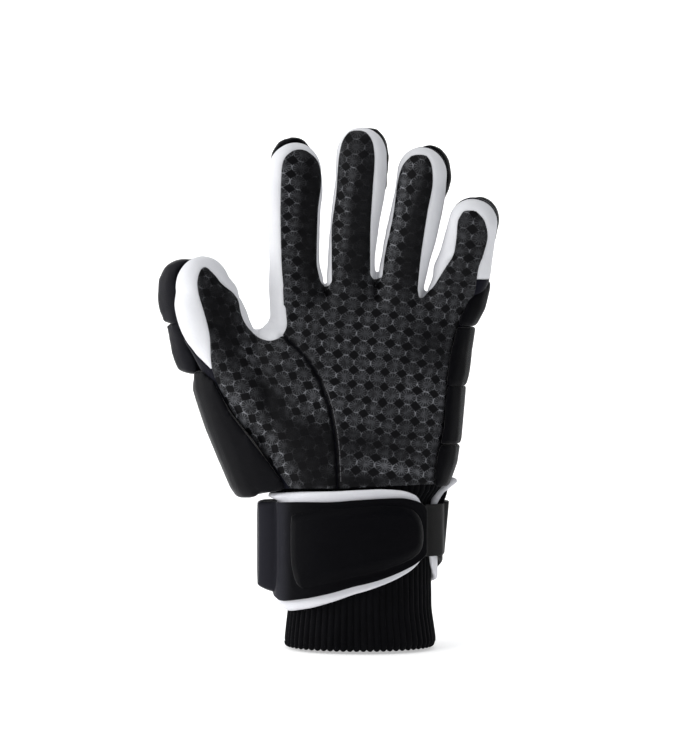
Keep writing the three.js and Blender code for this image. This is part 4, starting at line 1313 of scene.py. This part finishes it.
def leatherMaterial(name, turn):
    made, tree, shader = material(
        name, emboss["mark"], 0.45,
        **{"Specular IOR Level": 0.08, "Coat Weight": 0.2, "Coat Roughness": 0.32, "Coat IOR": 1.45},
    )
    place = placeOn(tree, "UV")
    # the leather is stretched unevenly, so the lattice wanders a little
    stretch = addNode(tree, "ShaderNodeTexNoise")
    stretch.inputs["Scale"].default_value = emboss["wanderScale"]
    tree.links.new(place, stretch.inputs["Vector"])
    wander = addNode(tree, "ShaderNodeVectorMath", operation="MULTIPLY_ADD")
    tree.links.new(stretch.outputs["Color"], wander.inputs[0])
    wander.inputs[1].default_value = (emboss["wander"], emboss["wander"], 0)
    tree.links.new(place, wander.inputs[2])
    mapping = addNode(tree, "ShaderNodeMapping")
    tree.links.new(wander.outputs["Vector"], mapping.inputs["Vector"])
    mapping.inputs["Rotation"].default_value = (0, 0, math.radians(turn))
    flat = splitUp(tree, mapping.outputs["Vector"])
    # one unit of the map is a tenth of a metre; x and y run from -1 to 1 across each wheel's own cell
    u = calc(tree, "MULTIPLY_ADD", flat["X"], 100 / emboss["wide"], 0.3)
    v = calc(tree, "MULTIPLY_ADD", flat["Y"], 100 / emboss["tall"], 0.2)
    x = calc(tree, "MULTIPLY_ADD", calc(tree, "FRACT", u), 2.0, -1.0)
    y = calc(tree, "MULTIPLY_ADD", calc(tree, "FRACT", v), 2.0, -1.0)
    beside = calc(tree, "SUBTRACT", 2.0, calc(tree, "ABSOLUTE", x))
    above = calc(tree, "SUBTRACT", 2.0, calc(tree, "ABSOLUTE", y))
    own = apart(tree, x, y)
    rim = 0.0
    for away in (own, apart(tree, beside, y), apart(tree, x, above)):
        off = calc(tree, "ABSOLUTE", calc(tree, "SUBTRACT", away, emboss["rim"]))
        line = calc(tree, "SUBTRACT", 1.0, rise(tree, off, emboss["rimWide"] * 0.4, emboss["rimWide"] * 1.3))
        rim = calc(tree, "MAXIMUM", rim, line)
    # each wheel is filled evenly, with short dark strokes between its hub and its rim
    ray = calc(tree, "SINE", calc(tree, "MULTIPLY", calc(tree, "ARCTAN2", y, x), emboss["spokes"]))
    pastHub = rise(tree, own, emboss["hub"], emboss["hub"] + 0.06)
    betweenThem = calc(tree, "SUBTRACT", pastHub, rise(tree, own, 0.86, 0.92))
    strokes = calc(tree, "MULTIPLY", rise(tree, ray, 0.0, 0.5), betweenThem)
    fill = calc(tree, "MULTIPLY_ADD", strokes, -0.8 * emboss["fill"], emboss["fill"])
    corner = calc(tree, "SUBTRACT", beside, calc(tree, "ABSOLUTE", y))
    outsideDiamond = rise(tree, corner, emboss["diamond"] - 0.06, emboss["diamond"] + 0.04)
    mark = calc(tree, "MULTIPLY", calc(tree, "MAXIMUM", rim, fill), outsideDiamond)
    # it fades in random patches, large and small, and the attribute paints shade and highlight on it: fainter
    # in the listed shaded places and in the thumb's seam, stronger where light falls
    paintedLightShade = addNode(tree, "ShaderNodeAttribute", attribute_name="embossPaintedLight").outputs["Fac"]
    wear = cloudy(tree, place, 3.2, 3.0, 0.55)
    rubbed = cloudy(tree, place, 34.0, 3.0, 0.6)
    shown = calc(tree, "MULTIPLY", rise(tree, wear, 0.1, 0.6), rise(tree, rubbed, 0.28, 0.68))
    shown = calc(tree, "MULTIPLY", calc(tree, "MULTIPLY_ADD", shown, 0.85, 0.2), paintedLightShade)
    speckle = rise(tree, cloudy(tree, place, 190.0, 2.0, 0.7), 0.3, 0.7)
    shown = calc(tree, "MULTIPLY", shown, calc(tree, "MULTIPLY_ADD", speckle, 0.9, 0.55))
    shown = calc(tree, "MULTIPLY", mark, shown)
    tree.links.new(blendColor(tree, shown, emboss["gap"], emboss["mark"]), shader.inputs["Base Color"])
    tree.links.new(calc(tree, "MULTIPLY_ADD", shown, -0.16, 0.58), shader.inputs["Roughness"])
    tree.links.new(calc(tree, "MULTIPLY_ADD", shown, emboss["gloss"], 0.02), shader.inputs["Coat Weight"])
    grain = addNode(tree, "ShaderNodeTexVoronoi")
    grain.inputs["Scale"].default_value = emboss["grainScale"]
    tree.links.new(place, grain.inputs["Vector"])
    height = calc(tree, "MULTIPLY_ADD", mark, 0.5, calc(tree, "MULTIPLY", grain.outputs["Distance"], 0.5))
    normal = relief(tree, height, 0.00016, 0.7)
    normal = relief(tree, cloudy(tree, place, 9.0, 3.0, 0.55), 0.0012, 0.35, normal)
    # fine wrinkles, mostly across the hand
    lengthwise = addNode(tree, "ShaderNodeMapping")
    lengthwise.inputs["Scale"].default_value = emboss["wrinkleScale"]
    tree.links.new(place, lengthwise.inputs["Vector"])
    normal = relief(tree, cloudy(tree, lengthwise.outputs["Vector"], 1.0, 4.0, 0.6), 0.0009, 0.5, normal)
    tree.links.new(normal, shader.inputs["Normal"])
    return made


def clothMaterial(name, color, shade, roughness, size, sheen=0.2, shine=0.1, deep=0.12, fuzz=0.35):
    # closely woven or knitted cloth, faintly uneven in tone; the weave's size and depth are in millimetres
    made, tree, shader = material(
        name, color, roughness,
        **{"Sheen Weight": sheen, "Sheen Roughness": fuzz, "Specular IOR Level": shine},
    )
    place = placeOn(tree)
    x, y, z = splitUp(tree, place)
    turns = 2 * math.pi / (size * mm)
    across = calc(tree, "SINE", calc(tree, "MULTIPLY", calc(tree, "ADD", x, y), turns))
    along = calc(tree, "SINE", calc(tree, "MULTIPLY", calc(tree, "MULTIPLY_ADD", y, 0.4, z), turns))
    weave = calc(tree, "MULTIPLY", across, along)
    fine = cloudy(tree, place, 900.0, 2.0, 0.6)
    broad = cloudy(tree, place, 60.0, 4.0, 0.6)
    tone = calc(tree, "MULTIPLY_ADD", broad, 0.7, calc(tree, "MULTIPLY", fine, 0.3))
    tone = calc(tree, "MULTIPLY_ADD", weave, 0.12, tone)
    tree.links.new(blendColor(tree, rise(tree, tone, 0.2, 0.8), shade, color), shader.inputs["Base Color"])
    height = calc(tree, "MULTIPLY_ADD", weave, 0.5, fine)
    tree.links.new(relief(tree, height, deep * mm, 0.6), shader.inputs["Normal"])
    return made


palmFinish = leatherMaterial("embossedLeather", 7.3)
thumbFinish = leatherMaterial("embossedLeatherThumb", 30)
whiteFinish = clothMaterial(
    "whiteStretchCloth", (0.7, 0.705, 0.725), (0.645, 0.65, 0.68), 0.8, 0.7, deep=0.06
)
bindingFinish = clothMaterial("whiteBinding", (0.72, 0.72, 0.75), (0.66, 0.66, 0.7), 0.85, 0.9)
backFinish = clothMaterial(
    "blackBackCloth", (0.004, 0.004, 0.009), (0.0025, 0.0025, 0.006), 0.8, 0.9, 0.15, 0.08
)
# One foam cloth in three copies: the strap and the back; the side panel, a little paler with painted light;
# and the thumb, paler still with painted light, as they face the side light
foamFinish = clothMaterial(
    "blackFoamCloth", (0.0018, 0.0018, 0.0028), (0.0011, 0.0011, 0.0018), 0.55, 0.8, 0.16, 0.04, fuzz=0.28
)
panelFinishPaintedLight = clothMaterial(
    "blackFoamClothPaintedLight", (0.0022, 0.0022, 0.0036), (0.0015, 0.0015, 0.0024), 0.5, 0.8, 0.2, 0.08, fuzz=0.28
)
thumbPadFinishPaintedLight = clothMaterial(
    "blackFoamClothPaintedMoreLight", (0.0075, 0.0075, 0.0105), (0.0055, 0.0055, 0.008), 0.5, 0.8, 0.2, 0.1, fuzz=0.28
)


# painted light on the strap's left side: where it begins and where it is full, as x leftwards in millimetres,
# and the paler colour there
paintedLeftLight = {"from": 34, "to": 42, "color": (0.016, 0.016, 0.021)}


def strapMaterialPaintedLight():
    # painted light: the strap's cloth grows paler to the left, towards its side pad, where the side light
    # falls
    made = foamFinish.copy()
    made.name = "blackStrapClothPaintedLight"
    tree = made.node_tree
    shader = next(node for node in tree.nodes if node.type == "BSDF_PRINCIPLED")
    was = shader.inputs["Base Color"].links[0].from_socket
    left = calc(tree, "MULTIPLY", splitUp(tree, placeOn(tree))["X"], -1.0)
    blend = addNode(tree, "ShaderNodeMix", data_type="RGBA")
    tree.links.new(rise(tree, left, paintedLeftLight["from"] * mm, paintedLeftLight["to"] * mm), blend.inputs["Factor"])
    tree.links.new(was, blend.inputs[6])
    blend.inputs[7].default_value = (*paintedLeftLight["color"], 1)
    tree.links.new(blend.outputs[2], shader.inputs["Base Color"])
    return made


strapFinish = strapMaterialPaintedLight()
knitFinish = clothMaterial(
    "blackRibKnit", (0.004, 0.004, 0.005), (0.0015, 0.0015, 0.002), 0.9, 1.4, 0.06, 0.05, 0.2
)
threadFinish = clothMaterial("darkThread", (0.07, 0.07, 0.075), (0.03, 0.03, 0.034), 0.5, 0.6, 0.3, 0.4, 0.05)
webbingFinish = clothMaterial(
    "blackWebbing", (0.008, 0.008, 0.008), (0.003, 0.003, 0.003), 0.6, 1.6, 0.1, 0.2, 0.25
)

# The tables were measured on a photograph taken from a metre away, as if it had no depth. What lies
# further back than the palm is really a little larger, and what lies nearer a little smaller.
shot = {
    "x": -10, "z": 142.5, "lift": -0.84, "distance": 1000, "plane": -15, "tall": 385.7, "sensor": 36,
    # the depths that count, and the heights over which the enlarging of what lies further back sets in
    "depths": (-36, 12), "low": 90, "lowOver": 60,
}


def toTrueSize(piece):
    points = pointsOf(piece)
    depth = np.clip(points[:, 1], *shot["depths"])
    grow = (shot["distance"] + depth) / (shot["distance"] + shot["plane"]) - 1
    high = np.clip((points[:, 2] - shot["low"]) / shot["lowOver"], 0, 1)
    grow = np.where(grow > 0, grow * softStep(high), grow)
    if piece == cuffPiece:
        points[:, 0] *= cuff["wider"]
        points[:, 2] -= shot["lift"] * np.clip(1 - points[:, 2] / cuffRows[-1][0], 0, 1)
    else:
        points[:, 0] += (points[:, 0] - shot["x"]) * grow
        points[:, 2] += (points[:, 2] - shot["z"]) * grow + shot["lift"]
    setPoints(piece, points)


strapNodes = ["strap_cover", "strap_front_pad", "strap_side_pad", "strap_back_pad"]
finishes = [
    (palmLeather, palmFinish, "leather", ["palm_leather"]),
    (thumbLeather, thumbFinish, "leather", ["thumb_leather"]),
    (backCloth, backFinish, "back_cloth", ["back_cloth"]), (cuffPiece, knitFinish, "knit", ["knit_cuff"]),
    (liningPiece, bindingFinish, "strap_lining", ["strap_lining"]),
    (coverPiece, strapFinish, "foam_cloth", strapNodes),
    (webbingPiece, webbingFinish, "webbing", ["strap_webbing"]),
]
for name, piece in sideClothPieces.items():
    finishes.append((piece, whiteFinish, "side_cloth", [name + "_side_cloth"]))
# the side panel and the thumb pads take the copies with painted light
padFinishes = {"thumb_side_panel": panelFinishPaintedLight, "thumb_pad_1": thumbPadFinishPaintedLight, "thumb_pad_2": thumbPadFinishPaintedLight}
for node, piece in foamPieces.items():
    finishes.append((piece, padFinishes.get(node, foamFinish), "foam_cloth", [node]))
for piece, finish, slot, nodes in finishes:
    toTrueSize(piece)
    piece.data.materials.clear()
    piece.data.materials.append(finish)
    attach(piece, "root")
    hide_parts(*nodes)
toTrueSize(seamThread)
seamThread.data.materials.append(threadFinish)
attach(seamThread, "root")
print("materials given")


# Floor, backdrop, lights and camera

studio = {"floor": -0.0005, "wall": 0.75, "bend": 0.35, "half": 2.2, "front": 2.5, "top": 2.4}


def studioFloor():
    bpy.ops.mesh.primitive_plane_add(size=1, location=(0, 0, 0))
    floor = bpy.context.active_object
    floor.name = "studioFloor"
    wall, bend = studio["wall"], studio["bend"]
    profile = [(-studio["front"], studio["floor"]), (wall, studio["floor"])]
    for angle in np.linspace(0, math.pi / 2, 17)[1:]:
        profile.append((wall + bend * math.sin(angle), studio["floor"] + bend * (1 - math.cos(angle))))
    profile.append((wall + bend, studio["top"]))
    points, faces = [], []
    for y, z in profile:
        points += [(-studio["half"], y, z), (studio["half"], y, z)]
    for i in range(len(profile) - 1):
        faces.append((2 * i, 2 * i + 1, 2 * i + 3, 2 * i + 2))
    floor.data.clear_geometry()
    floor.data.from_pydata(points, [], faces)
    bpy.ops.object.shade_smooth()
    made, _, shader = material("paleFloor", (0.93, 0.93, 0.93), 0.95, **{"Specular IOR Level": 0.0})
    shader.inputs["Emission Color"].default_value = (1, 1, 1, 1)
    shader.inputs["Emission Strength"].default_value = 0.45
    floor.data.materials.append(made)


def softLight(name, place, target, size, power, color=(1, 1, 1)):
    bpy.ops.object.light_add(type="AREA", location=place)
    light = bpy.context.active_object
    light.name = name
    light.data.size = size
    light.data.energy = power
    light.data.color = color
    light.rotation_euler = (Vector(target) - Vector(place)).to_track_quat("-Z", "Y").to_euler()


studioFloor()
softLight("keyLight", (-0.95, -0.8, 0.95), (0, 0, 0.15), 0.7, 6.4, (1, 0.99, 0.98))
softLight("sideLight", (-1.4, -0.12, 0.3), (0, 0, 0.15), 0.9, 12.5)
softLight("topLight", (-0.1, -0.1, 1.3), (0, 0, 0.15), 0.9, 3.6)
softLight("fillLight", (1.1, -0.9, 0.3), (0, 0, 0.12), 1.0, 1.0, (0.95, 0.97, 1))
world = bpy.data.worlds.new("paleSurround")
world.use_nodes = True
world.node_tree.nodes["Background"].inputs["Color"].default_value = (0.95, 0.97, 1, 1)
world.node_tree.nodes["Background"].inputs["Strength"].default_value = 0.35
bpy.context.scene.world = world

eye = (shot["x"] * mm, -shot["distance"] * mm, (shot["z"] + shot["lift"]) * mm)
bpy.ops.object.camera_add(location=eye, rotation=(math.pi / 2, 0, 0))
camera = bpy.context.active_object
camera.data.sensor_fit = "VERTICAL"
camera.data.sensor_height = shot["sensor"]
camera.data.lens = shot["sensor"] * (shot["distance"] + shot["plane"]) / shot["tall"]
bpy.context.scene.camera = camera
bpy.context.scene.view_settings.view_transform = "Standard"
bpy.ops.object.select_all(action="DESELECT")

print("scene finished")
